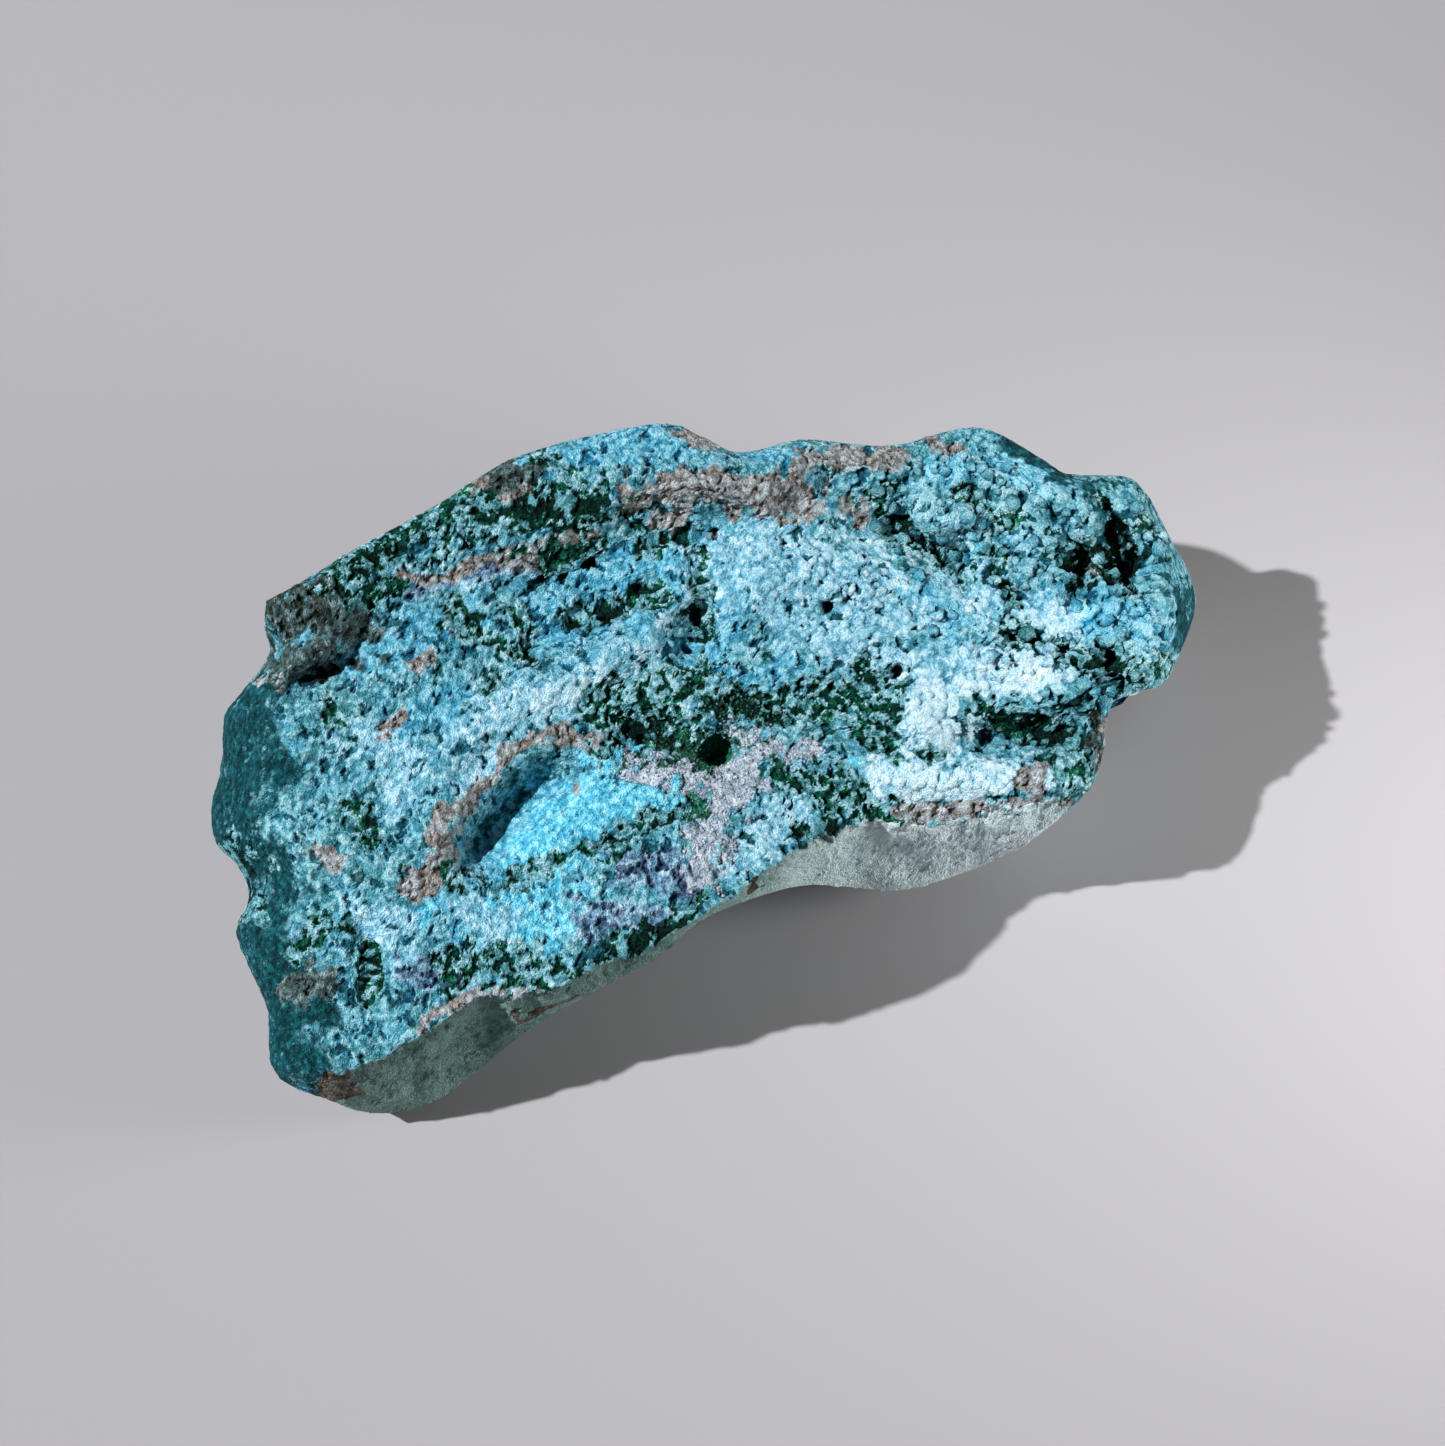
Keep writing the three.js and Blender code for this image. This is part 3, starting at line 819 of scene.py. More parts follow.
class Graph:
    """A material's nodes, made one call at a time. Each call returns the new node's first output."""

    def __init__(self, name):
        """A new material with its one shader."""
        self.material = bpy.data.materials.new(name)
        self.material.use_nodes = True
        self.tree = self.material.node_tree
        self.shader = self.tree.nodes["Principled BSDF"]

    def put(self, socket, value):
        """Links an output to a socket, or sets the socket to a plain value."""
        if isinstance(value, bpy.types.NodeSocket):
            self.tree.links.new(value, socket)
        else:
            socket.default_value = value

    def add(self, kind, inputs, output=0, **settings):
        """A new node of a kind, with its settings and inputs."""
        node = self.tree.nodes.new(kind)
        for key, value in settings.items():
            setattr(node, key, value)
        for key, value in inputs.items():
            self.put(node.inputs[key], value)
        return node.outputs[output]

    def attribute(self, label):
        """A number that the mesh stores at each vertex."""
        return self.add("ShaderNodeAttribute", {}, output="Fac", attribute_name=label)

    def maths(self, operation, a, b=0.0, c=0.0):
        """One sum, product or other operation on up to three values."""
        return self.add("ShaderNodeMath", {0: a, 1: b, 2: c}, operation=operation)

    def total(self, *parts):
        """The sum of (share, value) parts."""
        result = 0.0
        for share, value in parts:
            result = self.maths("MULTIPLY_ADD", value, share, result)
        return result

    def step(self, value, low, high):
        """0 below low, 1 above high, and a smooth curve between them."""
        inputs = {"Value": value, "From Min": low, "From Max": high}
        return self.add("ShaderNodeMapRange", inputs, interpolation_type="SMOOTHSTEP")

    def noise(self, place, size, detail=3.0):
        """Noise from 0 to 1 whose features are about size mm across."""
        inputs = {"Vector": place, "Scale": 1 / (size * MM), "Detail": detail, "Roughness": 0.6}
        return self.step(self.add("ShaderNodeTexNoise", inputs), 0.28, 0.72)

    def grains(self, place, size):
        """Distance from the middle of rounded grains about size mm across."""
        return self.add("ShaderNodeTexVoronoi", {"Vector": place, "Scale": 1 / (size * MM)})

    def ramp(self, factor, tints, ends=(0.04, 0.96)):
        """Display colours evenly spaced over a factor, from the first end to the last."""
        node = self.tree.nodes.new("ShaderNodeValToRGB")
        self.put(node.inputs["Fac"], factor)
        band = node.color_ramp.elements
        while len(band) < len(tints):
            band.new(0.5)
        for element, position, tint in zip(band, np.linspace(*ends, len(tints)), tints):
            element.position = position
            element.color = colour(*tint)
        return node.outputs["Color"]

    def mix(self, factor, a, b):
        """The first colour at a factor of 0, the second at 1, and their blend between."""
        node = self.tree.nodes.new("ShaderNodeMix")
        node.data_type = "RGBA"
        self.put(node.inputs["Factor"], factor)
        self.put(node.inputs[6], a)
        self.put(node.inputs[7], b)
        return node.outputs[2]


# Finish

# Display colours from dark to light. Grounds are what lies bare between the crust; crusts stand on it.
# The plain ones lie between a blue set and a green one.
GROUNDS = {
    "plain": [(8, 50, 62), (20, 84, 106), (42, 122, 150), (76, 158, 188)],
    "green": [(8, 50, 52), (20, 78, 82), (38, 106, 111), (72, 140, 146)],
    "deep": [(1, 30, 33), (5, 46, 50), (9, 58, 65), (14, 72, 81)],
    "azure": [(8, 58, 80), (24, 96, 126), (48, 136, 170), (84, 174, 206)],
    "sky": [(12, 70, 92), (36, 118, 148), (60, 158, 192), (94, 196, 228)],
    "lilac": [(30, 50, 76), (62, 88, 118), (98, 122, 152), (140, 162, 190)],
    "quartz": [(104, 126, 142), (148, 167, 184), (182, 195, 210), (206, 216, 229), (228, 238, 248)],
    "matrix": [(78, 75, 71), (116, 112, 107), (146, 142, 138), (168, 165, 161), (192, 190, 188)],
    "dull_and_painted_shade": [(10, 24, 21), (34, 50, 46), (62, 76, 72), (96, 108, 104)],
    "malachite": [(0, 5, 5), (0, 38, 29), (2, 76, 57), (24, 116, 90), (110, 178, 156)],
}
CRUSTS = {
    "plain": [(34, 106, 128), (64, 142, 168), (102, 178, 204), (142, 206, 226), (188, 232, 246)],
    "green": [(22, 86, 92), (52, 120, 128), (90, 158, 166), (134, 192, 202), (184, 224, 234)],
    "deep": [(2, 38, 43), (6, 55, 61), (11, 71, 79), (18, 90, 100), (38, 118, 128)],
    "azure": [(34, 112, 142), (64, 150, 182), (98, 184, 211), (138, 209, 231), (186, 232, 247)],
    "sky": [(42, 134, 166), (74, 180, 216), (108, 212, 242), (148, 234, 253), (200, 246, 254)],
    "pale": [(60, 134, 158), (106, 174, 200), (148, 207, 229), (188, 230, 247), (226, 247, 254)],
    "white": [(118, 178, 202), (172, 218, 238), (200, 236, 250), (217, 244, 253), (234, 250, 255)],
    "lilac": [(44, 76, 104), (80, 120, 150), (118, 160, 188), (160, 200, 222), (206, 238, 250)],
    "matrix": [(88, 92, 90), (124, 130, 130), (154, 162, 166), (182, 192, 198), (212, 224, 232)],
    "dull_and_painted_shade": [(24, 42, 40), (46, 66, 64), (70, 92, 92), (98, 122, 124), (142, 168, 172)],
    "malachite": [(18, 72, 72), (60, 124, 132), (104, 166, 178), (152, 204, 217), (206, 238, 247)],
}

# The bare wall's colours at the broad end and at the knobby one, and the tan crust and stains on it. The
# knobby end's are much lighter: partly paler rock and partly painted light from the bright floor nearby.
WALLS = {
    "broad end": [(54, 80, 76), (88, 122, 117), (118, 153, 149), (142, 174, 170), (172, 197, 193)],
    "knobby end": [(164, 192, 198), (196, 222, 228), (216, 238, 244), (232, 247, 251), (246, 253, 255)],
}
STAINS = [(22, 18, 12), (50, 46, 36), (82, 77, 66), (120, 115, 105), (160, 157, 148)]


def mineral_material():
    """The stone's finish: each mineral's ground colours and, where the crust attribute passes a level
    roughened by noise, its crust colours. The tone attribute, which holds painted light and shade, and fine
    noise pick from dark to light, and each mineral's own attribute says where it shows."""
    g = Graph("mineral_crust")
    place = g.add("ShaderNodeTexCoord", {}, output="Object")
    # Noise by the size of its features in mm.
    dust = g.noise(place, 0.16, detail=1)
    fine = g.noise(place, 0.55, detail=4)
    mottle = g.noise(place, 2.4, detail=4)
    broad = g.noise(place, 9.0, detail=2)
    tone = g.total((0.66, g.attribute("tone")), (0.14, fine), (0.34, dust), (0.12, mottle), (-0.13, 1.0))

    def minerals(palette):
        """The plain and green colours, then each other mineral's over them where it shows."""
        tint = g.mix(mottle, g.ramp(tone, palette["plain"]), g.ramp(tone, palette["green"]))
        for label in list(palette)[2:]:
            shown = g.step(g.total((1.0, g.attribute(label)), (0.5, fine), (-0.25, 1.0)), 0.2, 0.8)
            tint = g.mix(shown, tint, g.ramp(tone, palette[label]))
        return tint

    crust = g.step(g.total((1.0, g.attribute("crust")), (0.4, fine), (0.3, dust), (-0.35, 1.0)), 0.25, 0.75)
    tint = g.mix(crust, minerals(GROUNDS), minerals(CRUSTS))
    wall_tone = g.total((0.33, broad), (0.28, mottle), (0.26, fine), (0.18, dust))
    along = g.add("ShaderNodeSeparateXYZ", {"Vector": place}, output="X")
    walls = [g.ramp(wall_tone, tints) for tints in WALLS.values()]
    # Lighter towards the knobby end: partly paler rock, partly painted light.
    wall = g.mix(g.step(along, -15 * MM, 15 * MM), *walls)
    for label, over in (("wall", wall), ("stain", g.ramp(wall_tone, STAINS))):
        share = g.total((1.0, g.attribute(label)), (0.3, fine), (0.2, dust), (-0.25, 1.0))
        tint = g.mix(g.step(share, 0.3, 0.7), tint, over)
    g.put(g.shader.inputs["Base Color"], tint)
    gloss = g.attribute("gloss")
    g.put(g.shader.inputs["Roughness"], g.total((-0.5, gloss), (0.85, 1.0)))
    g.put(g.shader.inputs["Specular IOR Level"], g.total((0.5, gloss), (0.12, 1.0)))
    height = g.total((0.6, fine), (0.5, dust), (-0.3, g.grains(place, 0.45)))
    bump = g.add("ShaderNodeBump", {"Height": height, "Strength": 0.8, "Distance": 0.3 * MM})
    g.put(g.shader.inputs["Normal"], bump)
    return g.material


# The stone

def patch_weight(pixels, patches):
    """1 along the middle of any patch, falling in a bell curve to a third at its half width."""
    weight = np.zeros(pixels.shape[:-1])
    for width, line in patches:
        weight = np.maximum(weight, np.exp(-((line_distance(pixels, line) / width) ** 2)))
    return weight


def evened(values):
    """The rank of each value among them all, from 0 to 1, so that every level is passed as often."""
    ranks = np.empty(values.size)
    ranks[np.argsort(values)] = np.linspace(0, 1, values.size)
    return ranks


def crumpled(points, size, seed):
    """Evened fractal noise of a place that is itself moved by coarser noise, so that it folds."""
    reach = 1.6 * size
    folds = np.stack([fractal(points, reach, seed + 40 + k, octaves=2) - 0.5 for k in range(3)], axis=-1)
    return evened(fractal(points + reach * folds, size, seed))


def wall_share(drop, points):
    """1 where the crust's own surface lies above the wall's and 0 where it lies below, with crumbs."""
    crumbs = 0.6 * fractal(points, 1.5, STONE_SEED + 91) + 0.4 * bumps(points, 0.9, STONE_SEED + 92) - 0.5
    return smoothstep(-0.2, 0.3, drop + 2.2 * crumbs)


def hidden_patches(points, brown, hidden):
    """What shows on the hidden side, where hidden is 1: deep crust or bare rock by broad noise, with more
    rock under the wall, and over them green spots and brown stains, where their own noise passes a level."""
    under_wall = smoothstep(UNDER_WALL[1], UNDER_WALL[0], points[:, 1])
    broad = fractal(points, CRUST_OR_ROCK, STONE_SEED + 50) - 0.12 * under_wall
    green = fractal(points, GREEN_SPOTS, STONE_SEED + 80)
    rock = hidden * smoothstep(0.53, 0.47, broad)
    return {
        "deep": hidden * smoothstep(0.44, 0.5, broad),
        "malachite": hidden * smoothstep(0.6, 0.64, green) * 0.8,
        "matrix": 0.7 * rock,
        "wall": (0.36 + 0.4 * under_wall) * rock,
        "stain": 0.6 * smoothstep(0.54, 0.6, brown) * hidden,
    }


def mineral_patches(pixels, points, seen, wall):
    """The patch attributes of vertices. On the seen side, where seen is 1, a mineral shows where its
    patches' weight beats evened noise, so that it crumbles into islands outwards. Crust covers a share of
    each mineral's ground in crumpled lace, with a lip along its edge and pits between. Holes are bare."""
    waver = np.stack([fractal(points, WAVER_SIZE, STONE_SEED + k) - 0.5 for k in (10, 20)], axis=-1)
    wavering = pixels + WAVER * waver
    weights = {}
    for number, (label, patches) in enumerate(MINERAL_PATCHES.items()):
        islands = evened(fractal(points, ISLAND_SIZE[label], STONE_SEED + 100 + 7 * number))
        soft = ISLAND_EDGE[label]
        shown = smoothstep(-soft, soft, 1.2 * patch_weight(wavering, patches) - 0.2 - islands * 0.85)
        weights[label] = shown * seen * (1 - wall)
    brown = 0.5 * fractal(points, BROWN_STAINS, STONE_SEED + 60)
    brown = brown + 0.5 * fractal(points * STREAK_PRESS, BROWN_STREAKS, STONE_SEED + 70)
    hidden = hidden_patches(points, brown, 1 - seen)
    for label in ("deep", "malachite", "matrix"):
        weights[label] = weights[label] + hidden[label]
    tan = smoothstep(-0.2, 0.2, patch_weight(wavering, STAIN_PATCHES) - 0.4 * evened(brown) - 0.3)
    weights["wall"] = np.maximum(wall, hidden["wall"])
    weights["stain"] = np.maximum(np.minimum(wall * 3, 1) * tan, hidden["stain"])
    # Holes: bare, with the malachite's darkest colours, and painted black as shade.
    in_hole = patch_weight(pixels, HOLE_PAINTED_BLACK_PATCHES)
    ragged = 0.6 * (fractal(points, HOLE_RAGS, STONE_SEED + 93) - 0.5)
    hole_painted_black = smoothstep(0.4, 0.65, in_hole + ragged) * (in_hole > 0.2) * seen
    weights["malachite"] = np.maximum(weights["malachite"], hole_painted_black)
    weights["hole_painted_black"] = hole_painted_black
    # Hollows and holes, which get painted shade in the crust's tone, and less crust.
    hollow_painted_shade = np.maximum(patch_weight(pixels, HOLLOW_PAINTED_SHADE_PATCHES) * seen * (1 - wall), hole_painted_black)
    cover = PLAIN_COVER + sum(change * weights[label] for label, change in COVER_CHANGE.items())
    cover = np.clip(cover, 0.3, 1.2) - 0.18 * hollow_painted_shade - 0.2 * weights["quartz"]
    lace, fine_lace = (crumpled(points, size, STONE_SEED + 40) for size in (LACE, MALACHITE_LACE))
    over = np.maximum(cover, 0.06) - lace - (fine_lace - lace) * weights["malachite"] * (1 - hollow_painted_shade)
    weights["hollow_painted_shade"] = hollow_painted_shade
    weights["crust"] = smoothstep(-0.07, 0.07, over) * (1 - hole_painted_black)
    weights["lip"] = np.exp(-(((over - 0.05) / 0.06) ** 2))
    weights["pit"] = smoothstep(-0.05, -0.35, over) * (1 - weights["quartz"]) * (1 - weights["matrix"])
    return weights


def macro_push(points, calm, edge):
    """How far swellings and lumps push the surface out, in mm: nothing at the outline, which has its own."""
    swells = (fractal(points, SWELLS, STONE_SEED + 1) - 0.5) * smoothstep(0, 45, edge)
    lumps = (fractal(points, LUMPS, STONE_SEED + 2) - 0.5) * smoothstep(0, 16, edge)
    return RISE["swells"] * swells + (RISE["lumps"] - 0.8 * calm) * lumps


def corner_fade(pixels):
    """0 at the outline's four corners, where the sheets' normals turn sharply, and 1 away from them."""
    corners = [stretch[end][:2] for stretch in (NEAR_EDGE, FAR_EDGE) for end in (0, -1)]
    return 1 - sum(np.exp(-((line_distance(pixels, [corner]) / CORNER_REACH) ** 2)) for corner in corners)


def make_body(material):
    """The stone's body: both sheets joined along the outline, with the seen one sunk under the crust from
    there inwards. Swellings, lumps and grains push the hidden side in and out along its normals, and the
    flat patch stays flat."""
    sheets = stone_sheets(BODY_CELLS)
    rows, columns = BODY_CELLS[0] + 1, BODY_CELLS[1] + 1
    size = rows * columns
    grid = np.arange(size).reshape(rows, columns)
    under = grid + size
    under[0], under[-1], under[:, 0], under[:, -1] = grid[0], grid[-1], grid[:, 0], grid[:, -1]
    triangles = np.concatenate([cut_cells(grid), cut_cells(under, flip=True)])
    pixels = np.concatenate([sheets["pixels"].reshape(-1, 2)] * 2)
    points = np.concatenate([sheets["upper"].reshape(-1, 3), sheets["lower"].reshape(-1, 3)])
    edge = np.concatenate([sheets["edge"].ravel()] * 2)
    upper = np.arange(2 * size) < size
    wavering = edge + SEEN_WAVER * (fractal(points, WAVER_SIZE, STONE_SEED + 90) - 0.5)
    seen = np.where(upper, 1.0, smoothstep(SEEN_FROM_OUTLINE[1], SEEN_FROM_OUTLINE[0], wavering))
    wall = wall_share(np.concatenate([sheets["wall"].ravel()] * 2), points) * seen
    patches = mineral_patches(pixels, points, seen, wall)
    normals = vertex_normals(points, triangles)
    calm = np.clip(0.8 * patches["deep"] + wall + 0.5 * (1 - seen), 0, 1)
    crumbs = value_noise(points / HIDDEN_CRUMBS, STONE_SEED + 5)
    grains = bumps(points, HIDDEN_GRAINS, STONE_SEED + 4)
    push = HIDDEN_RISE["grains"] * (grains - 0.6) + HIDDEN_RISE["crumbs"] * (crumbs - 0.5)
    push = macro_push(points, calm, edge) + push
    sunk = BODY_DEPTH * upper * smoothstep(0, 6, edge)
    push = (push - sunk) * corner_fade(pixels) * smoothstep(0, GROUND_FADE, points[:, 2])
    points = points + normals * push[:, None]
    points[:, 2] = np.maximum(points[:, 2], 0)
    # Lighter on the hidden side's bumps and darker between them: painted light and shade.
    attributes = {"tone": evened(grains + crumbs), "gloss": np.zeros(len(points))}
    attributes.update({label: patches[label] for label in ATTRIBUTES})
    # The seen sheet has the lower half of the UV square, and the hidden one the upper half.
    steps = grid_places(np.linspace(0.004, 0.996, rows), np.linspace(0.004, 0.496, columns))
    uv = steps[np.concatenate([cut_cells(grid), cut_cells(grid, flip=True)])]
    uv[len(uv) // 2:, :, 1] += 0.5
    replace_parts(make_piece("stone_body", points, triangles, uv, attributes, material), "stone")


def crust_relief(points, patches, beady, knobby, calm):
    """How far the crust's detail pushes the surface out in mm, and its tone from dark to light. The crust
    stands on the ground with a raised lip, is made of fused grains and creased by sharp ridges, and swells
    into fused beads in some places and knobs in others. The tone is painted light and shade: lighter where
    these forms stand out and darker in pits, darker still in hollows, most on their bare ground, and black
    in holes."""
    crust, hollow_painted_shade, hole_painted_black = (patches[label] for label in ("crust", "hollow_painted_shade", "hole_painted_black"))
    rough = 1 - 0.6 * beady
    shallow = 1 - 0.5 * patches["malachite"] * (1 - hollow_painted_shade)
    folds = np.abs(fractal(points, CREASES, STONE_SEED + 6, octaves=2) - 0.5)
    forms = {
        "crust": crust * shallow,
        "pit": patches["pit"] * shallow,
        "lip": patches["lip"],
        "knobs": bumps(points, KNOBS, STONE_SEED + 3) * knobby,
        "beads": bumps(points, BEADS, STONE_SEED + 4) * beady,
        "grains": bumps(points, GRAINS, STONE_SEED + 9) * rough,
        "creases": np.clip(1 - 4 * folds, 0, 1) * rough,
        "crumbs": value_noise(points / CRUMBS, STONE_SEED + 5),
    }
    height = sum(RISE[label] * form for label, form in forms.items())
    # Painted light and shade: lighter on what stands out, darker in the pits.
    tone = evened(sum(share * forms[label] for label, share in PAINTED_LIGHT_AND_SHADE.items()))
    height = (1 - 0.6 * calm) * (1 - hole_painted_black) * (height - 0.35) + RISE["hole_painted_black"] * hole_painted_black
    # Painted shade: darker in hollows, most where no crust covers them, and black in holes.
    return height, tone * (1 - 0.35 * hollow_painted_shade) * (1 - 0.9 * hollow_painted_shade * (1 - crust)) * (1 - hole_painted_black) - 0.5 * hole_painted_black


def make_crust(material):
    """The seen side's crust in tiles, each a closed slab: its surface on a fine grid, its underside on a
    coarse one inside the body, and walls between. Near the outline only what stands out is kept, so that
    the slab meets the body there. Normals come from the whole surface, so that no seam shows between
    tiles. Returns what grows on the crust needs to know."""
    sheets = stone_sheets(CRUST_CELLS)
    rows, columns = CRUST_CELLS[0] + 1, CRUST_CELLS[1] + 1
    grid = np.arange(rows * columns).reshape(rows, columns)
    pixels, points = sheets["pixels"].reshape(-1, 2), sheets["upper"].reshape(-1, 3)
    edge = sheets["edge"].ravel()
    wall, seen = wall_share(sheets["wall"].ravel(), points), np.ones(rows * columns)
    patches = mineral_patches(pixels, points, seen, wall)
    normals = vertex_normals(points, cut_cells(grid))
    beady, knobby = patch_weight(pixels, BEAD_PATCHES), patch_weight(pixels, KNOB_PATCHES)
    knobby = knobby * smoothstep(4, 30, edge)
    calm = np.clip(0.3 * patches["deep"] + wall + 0.9 * patch_weight(pixels, CALM_PATCHES), 0, 1)
    detail, tone = crust_relief(points, patches, beady, knobby, calm)
    macro = macro_push(points, calm, edge)
    ground = smoothstep(0, GROUND_FADE, points[:, 2]) * corner_fade(pixels)
    inside = smoothstep(0, 14, edge)
    detail = detail * inside + 0.6 * np.maximum(detail, 0) * (1 - inside)
    top = points + normals * ((macro + detail) * ground)[:, None]
    under = points + normals * ((macro - CRUST_DEPTH) * ground)[:, None]
    top[:, 2], under[:, 2] = np.maximum(top[:, 2], 0), np.maximum(under[:, 2], 0.05)
    turned_out = vertex_normals(top, cut_cells(grid))
    gloss = 0.4 * patches["quartz"] * (1 - patches["crust"])
    attributes = {"tone": tone, "gloss": gloss, **{label: patches[label] for label in ATTRIBUTES}}
    # A tile's surface has its UV square up to 0.94, and its underside the strip above that.
    steps = grid_places(np.arange(rows), np.linspace(0.003, 0.94, columns))
    width = CRUST_CELLS[0] // CRUST_TILES
    for tile in range(CRUST_TILES):
        first = tile * width
        fine = grid[first:first + width + 1]
        coarse = fine[::COARSE, ::COARSE]
        triangles = slab_faces(fine.shape, coarse.shape)
        picked = np.concatenate([fine.ravel(), coarse.ravel()])
        uv = steps[picked]
        uv[:, 0] = 0.003 + 0.994 * (uv[:, 0] - first) / width
        uv[fine.size:, 1] = 0.95 + 0.05 * uv[fine.size:, 1]
        both = np.concatenate([top[fine.ravel()], under[coarse.ravel()]])
        numbers = {label: values[picked] for label, values in attributes.items()}
        piece = make_piece(f"crust_{tile + 1}", both, triangles, uv[triangles], numbers, material)
        outwards = np.concatenate([turned_out[fine.ravel()], -normals[coarse.ravel()]])
        piece.data.normals_split_custom_set_from_vertices(outwards.tolist())
        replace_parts(piece, "stone")
    glitter = patch_weight(pixels, GLITTER_PATCHES)
    places = {"points": top, "normals": turned_out, "edge": edge}
    return {**places, "knobby": knobby, "glitter": glitter, "hollow_painted_shade": patches["hollow_painted_shade"], **attributes}


# What grows on the crust

def turned(sides, tip, rings):
    """A small closed growth on an axis, with its tip at a height of tip: rings of (radius, height) from
    the tip down, fanned at the tip, banded between rings and closed underneath."""
    turn = 2 * math.pi * np.arange(sides) / sides
    circle = np.stack([np.cos(turn), np.sin(turn)], axis=-1)
    radii, heights = np.array(rings, float).T
    points = np.zeros((len(rings), sides, 3))
    points[..., :2] = circle * radii[:, None, None]
    points[..., 2] = heights[:, None]
    here = np.arange(sides)
    after = (here + 1) % sides
    triangles = [np.stack([np.zeros_like(here), here + 1, after + 1], -1)]
    for ring in range(len(rings) - 1):
        top, low = 1 + ring * sides, 1 + (ring + 1) * sides
        triangles.append(np.stack([here + top, here + low, after + low], -1))
        triangles.append(np.stack([here + top, after + low, after + top], -1))
    last = 1 + (len(rings) - 1) * sides
    triangles.append(np.stack([np.full(sides - 2, last), here[2:] + last, here[1:-1] + last], -1))
    spread = circle * (np.arange(1, len(rings) + 1) / len(rings))[:, None, None]
    return {
        "points": np.vstack([[[0, 0, tip]], points.reshape(-1, 3)]),
        "triangles": np.concatenate(triangles),
        "spread": np.vstack([[[0, 0]], spread.reshape(-1, 2)]),
    }


def find_spots(surface, chance, spacing, seed):
    """Random places on the seen side, even by area, each kept with its chance from 0 to 1, and thinned to
    one in each turned cube of the spacing in mm. Each has the surface's values blended from its cell."""
    rng = np.random.default_rng(seed)
    rows = CRUST_CELLS[1] + 1
    grid = surface["points"].reshape(-1, rows, 3)
    sides = np.cross(grid[1:, :-1] - grid[:-1, :-1], grid[:-1, 1:] - grid[:-1, :-1])
    area = np.linalg.norm(sides, axis=-1).ravel()
    cell = rng.choice(area.size, int(TRIES_PER_CUBE * area.sum() / spacing**2), p=area / area.sum())
    i, j = np.divmod(cell, CRUST_CELLS[1])
    s, t = rng.random((2, cell.size))
    first = i * rows + j
    corners = [(first, (1 - s) * (1 - t)), (first + rows, s * (1 - t))]
    corners += [(first + rows + 1, s * t), (first + 1, (1 - s) * t)]

    def blend(field):
        """A field's values at the places, from the four corners of their cells."""
        return sum(share.reshape(-1, *[1] * (field.ndim - 1)) * field[corner] for corner, share in corners)

    spots = {label: blend(field) for label, field in surface.items()}
    keep = np.flatnonzero(rng.random(cell.size) < blend(chance))
    turn, _ = np.linalg.qr(rng.normal(size=(3, 3)))
    cubes = np.floor(spots["points"][keep] @ turn / spacing).astype(np.int64)
    _, chosen = np.unique(cubes, axis=0, return_index=True)
    return {label: values[keep[np.sort(chosen)]] for label, values in spots.items()}


def grow(name, spots, shape, radius, height, lean, material, seed, smooth=True, gloss=0):
    """One mesh of growths, one at each spot: the shape is scaled by a radius and a height in mm, wobbled,
    turned at random about the surface's normal, leant by a share of it, and sunk a little."""
    rng = np.random.default_rng(seed)
    count = min(len(spots["points"]), PIECE_TRIANGLES // len(shape["triangles"]))
    picked = np.sort(rng.permutation(len(spots["points"]))[:count])
    spots = {label: values[picked] for label, values in spots.items()}
    axis = spots["normals"] + lean * rng.normal(size=(count, 3))
    axis /= np.linalg.norm(axis, axis=1, keepdims=True)
    side = np.cross(axis, rng.normal(size=(count, 3)))
    side /= np.linalg.norm(side, axis=1, keepdims=True)
    other = np.cross(axis, side)
    wide = radius[0] + (radius[1] - radius[0]) * rng.random(count) ** 1.6
    tall = wide * (height[0] + (height[1] - height[0]) * rng.random(count))
    wobble = 1 + 0.2 * rng.normal(size=(count, len(shape["points"]), 1))
    local = shape["points"][None] * wobble
    scale = np.stack([wide, wide, tall], axis=-1)[:, None]
    local = local * scale
    points = spots["points"][:, None] + local @ np.stack([side, other, axis], axis=1)
    points = points.reshape(-1, 3)
    corners = len(shape["points"])
    triangles = (shape["triangles"][None] + corners * np.arange(count)[:, None, None]).reshape(-1, 3)
    columns = math.ceil(math.sqrt(count))
    cell = np.stack(np.divmod(np.arange(count), columns), axis=-1)
    uv = ((cell[:, None] + 0.5 + 0.42 * shape["spread"][None]) / columns).reshape(-1, 2)
    shade = 0.16 * rng.normal(size=(count, 1))
    rise = shape["points"][:, 2] / shape["points"][0, 2]
    attributes = {label: np.repeat(spots[label], corners) for label in ATTRIBUTES}
    # Painted light and shade: each growth lighter towards its tip and darker at its foot, with a random tone
    # of its own.
    attributes["tone"] = np.clip(0.1 + 0.75 * np.clip(rise, 0, 1) + shade, 0, 1).ravel()
    attributes["wall"] = attributes["stain"] = np.zeros(len(points))
    attributes["gloss"] = np.full(len(points), float(gloss))
    make_piece(name, points, triangles, uv[triangles], attributes, material, smooth)


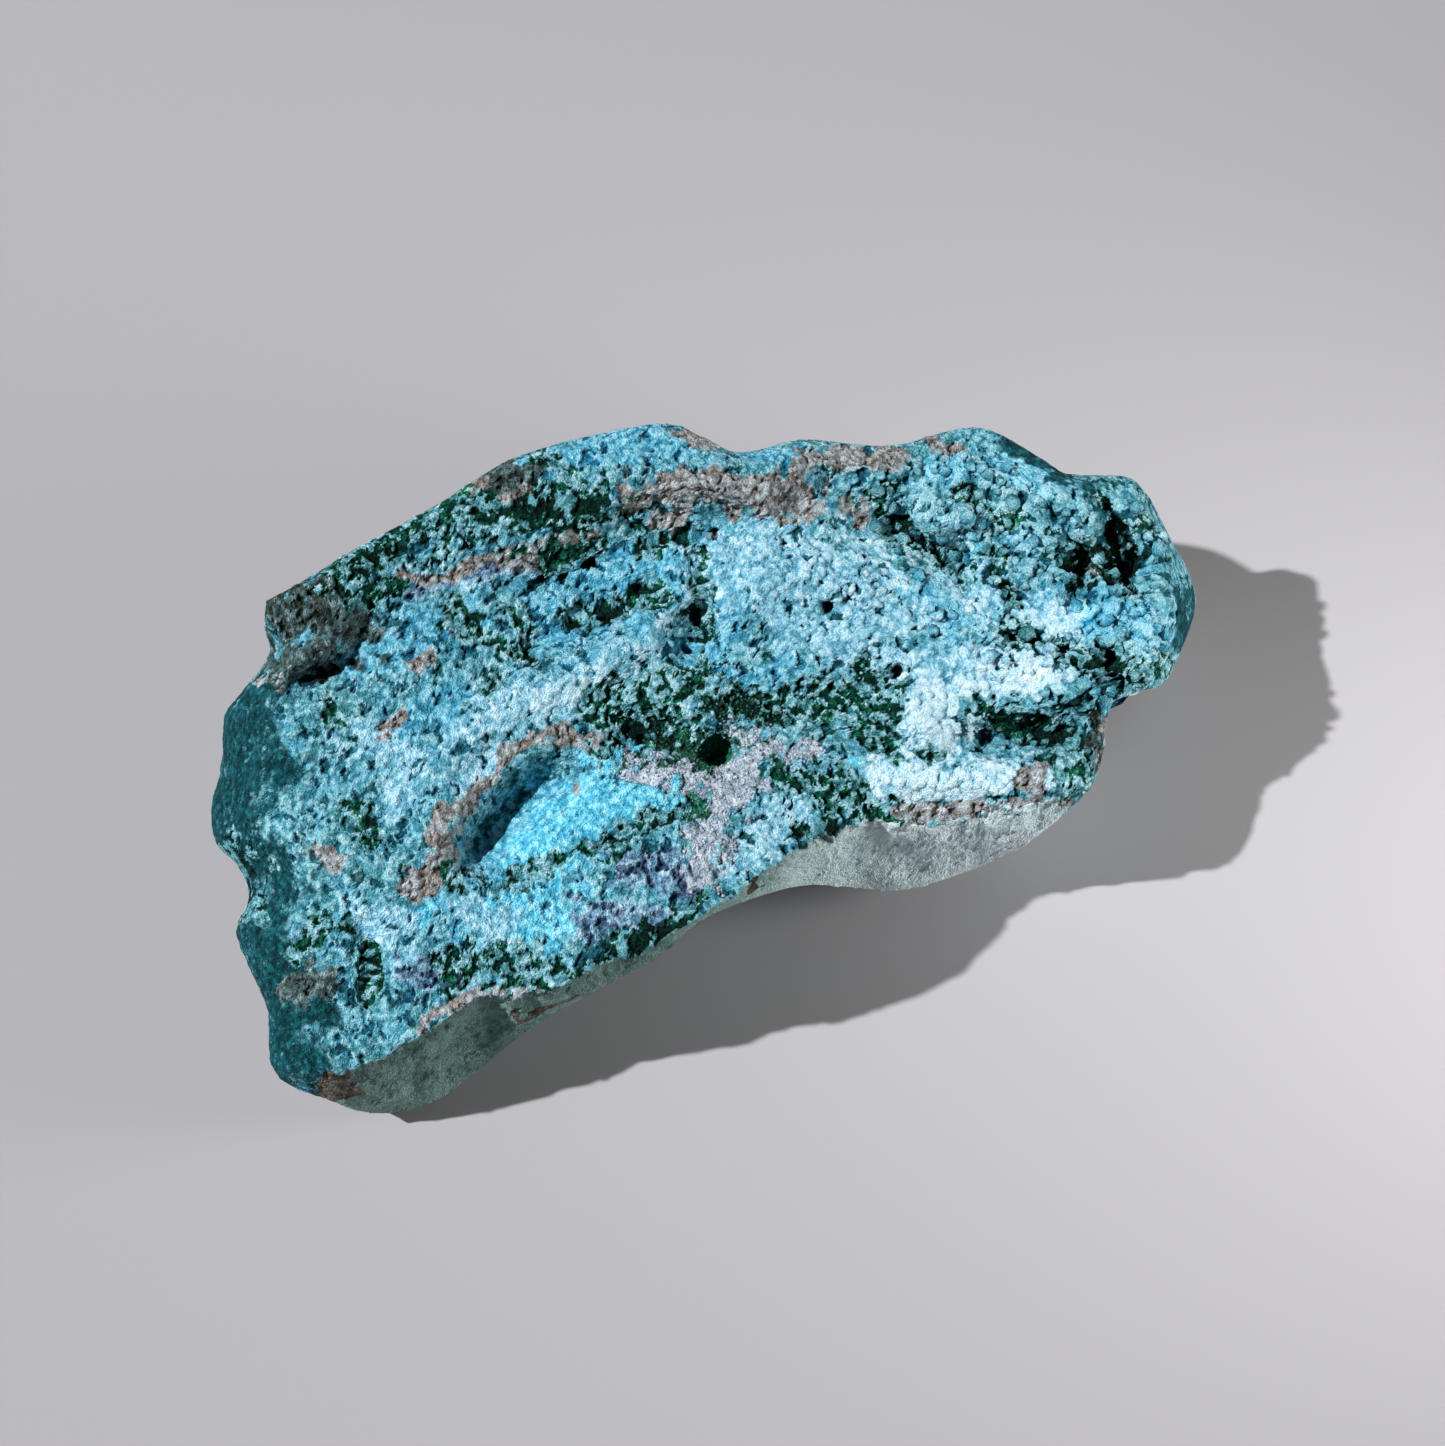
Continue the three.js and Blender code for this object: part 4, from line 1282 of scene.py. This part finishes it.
def make_growths(surface, material):
    """The crust's knobs and the quartz's points, each where it shows."""
    ball = turned(8, 0.95, [(0.5, 0.8), (0.88, 0.35), (1.0, -0.3)])
    crystal = turned(6, 1.0, [(0.85, 0.55), (0.9, -0.3)])
    knobby = (1 - surface["wall"]) * surface["knobby"] * smoothstep(10, 30, surface["edge"])
    for label in ("matrix", "deep", "hollow_painted_shade"):
        knobby = knobby * (1 - 0.8 * surface[label])
    knob_spots = find_spots(surface, 0.16 * knobby, KNOB_SPACING, 113)
    knob_spots["crust"] = np.ones(len(knob_spots["crust"]))
    grow("knobs", knob_spots, ball, *KNOB_FORM, material, 114)
    bare = (1 - surface["wall"]) * (1 - surface["crust"])
    sparse = 0.35 * surface["quartz"]
    glass = find_spots(surface, bare * np.clip(sparse + surface["glitter"], 0, 1), POINT_SPACING, 117)
    glass["crust"] = 0.3 * glass["crust"]
    glass["quartz"] = np.ones(len(glass["crust"]))
    grow("quartz_points", glass, crystal, *POINT_FORM, material, 118, smooth=False, gloss=0.9)


# The scene

def make_floor():
    """A plain pale ground."""
    half = FLOOR_HALF * MM
    mesh = bpy.data.meshes.new("floor")
    corners = [(-half, -half, 0), (half, -half, 0), (half, half, 0), (-half, half, 0)]
    mesh.from_pydata(corners, [], [(0, 1, 2, 3)])
    g = Graph("pale_ground")
    g.shader.inputs["Base Color"].default_value = colour(*FLOOR_TINT)
    g.shader.inputs["Roughness"].default_value = 1.0
    g.shader.inputs["Specular IOR Level"].default_value = 0.0
    mesh.materials.append(g.material)
    floor = bpy.data.objects.new("floor", mesh)
    bpy.context.scene.collection.objects.link(floor)


def make_camera():
    """The camera at the eye, with the lens that gives the view's pixels per mm."""
    data = bpy.data.cameras.new("camera")
    data.sensor_fit = "HORIZONTAL"
    data.sensor_width = SENSOR_WIDTH
    data.lens = SENSOR_WIDTH * PIXELS_PER_MM * EYE_DISTANCE / PICTURE_WIDTH
    data.clip_start = 10 * MM
    camera = bpy.data.objects.new("camera", data)
    turn = Matrix((RIGHTWARD, UPWARD, -FORWARD)).transposed().to_4x4()
    camera.matrix_world = Matrix.Translation(Vector(EYE * MM)) @ turn
    bpy.context.scene.collection.objects.link(camera)
    bpy.context.scene.camera = camera


def make_lamp(name, toward, distance, size, power, spread, tint):
    """A round lamp that far out in a direction, shining on the stone in a cone of spread degrees."""
    data = bpy.data.lights.new(name, "AREA")
    data.shape = "DISK"
    data.size = size * MM
    data.energy = power
    data.spread = math.radians(spread)
    data.color = tint
    lamp = bpy.data.objects.new(name, data)
    direction = Vector(toward).normalized()
    lamp.location = direction * distance * MM
    lamp.rotation_euler = direction.to_track_quat("Z", "Y").to_euler()
    bpy.context.scene.collection.objects.link(lamp)


def make_light():
    """A bright lamp from the left, a weak one near the knobby end, an even pale surround, and a plain
    display of colours."""
    make_lamp("key", *KEY_LAMP)
    make_lamp("fill", *FILL_LAMP)
    world = bpy.data.worlds.new("surround")
    world.use_nodes = True
    background = world.node_tree.nodes["Background"]
    background.inputs["Color"].default_value = colour(*SURROUND_TINT)
    background.inputs["Strength"].default_value = SURROUND_STRENGTH
    bpy.context.scene.world = world
    bpy.context.scene.view_settings.view_transform = "Standard"


make_camera()
make_light()
make_floor()
mineral = mineral_material()
make_body(mineral)
make_growths(make_crust(mineral), mineral)
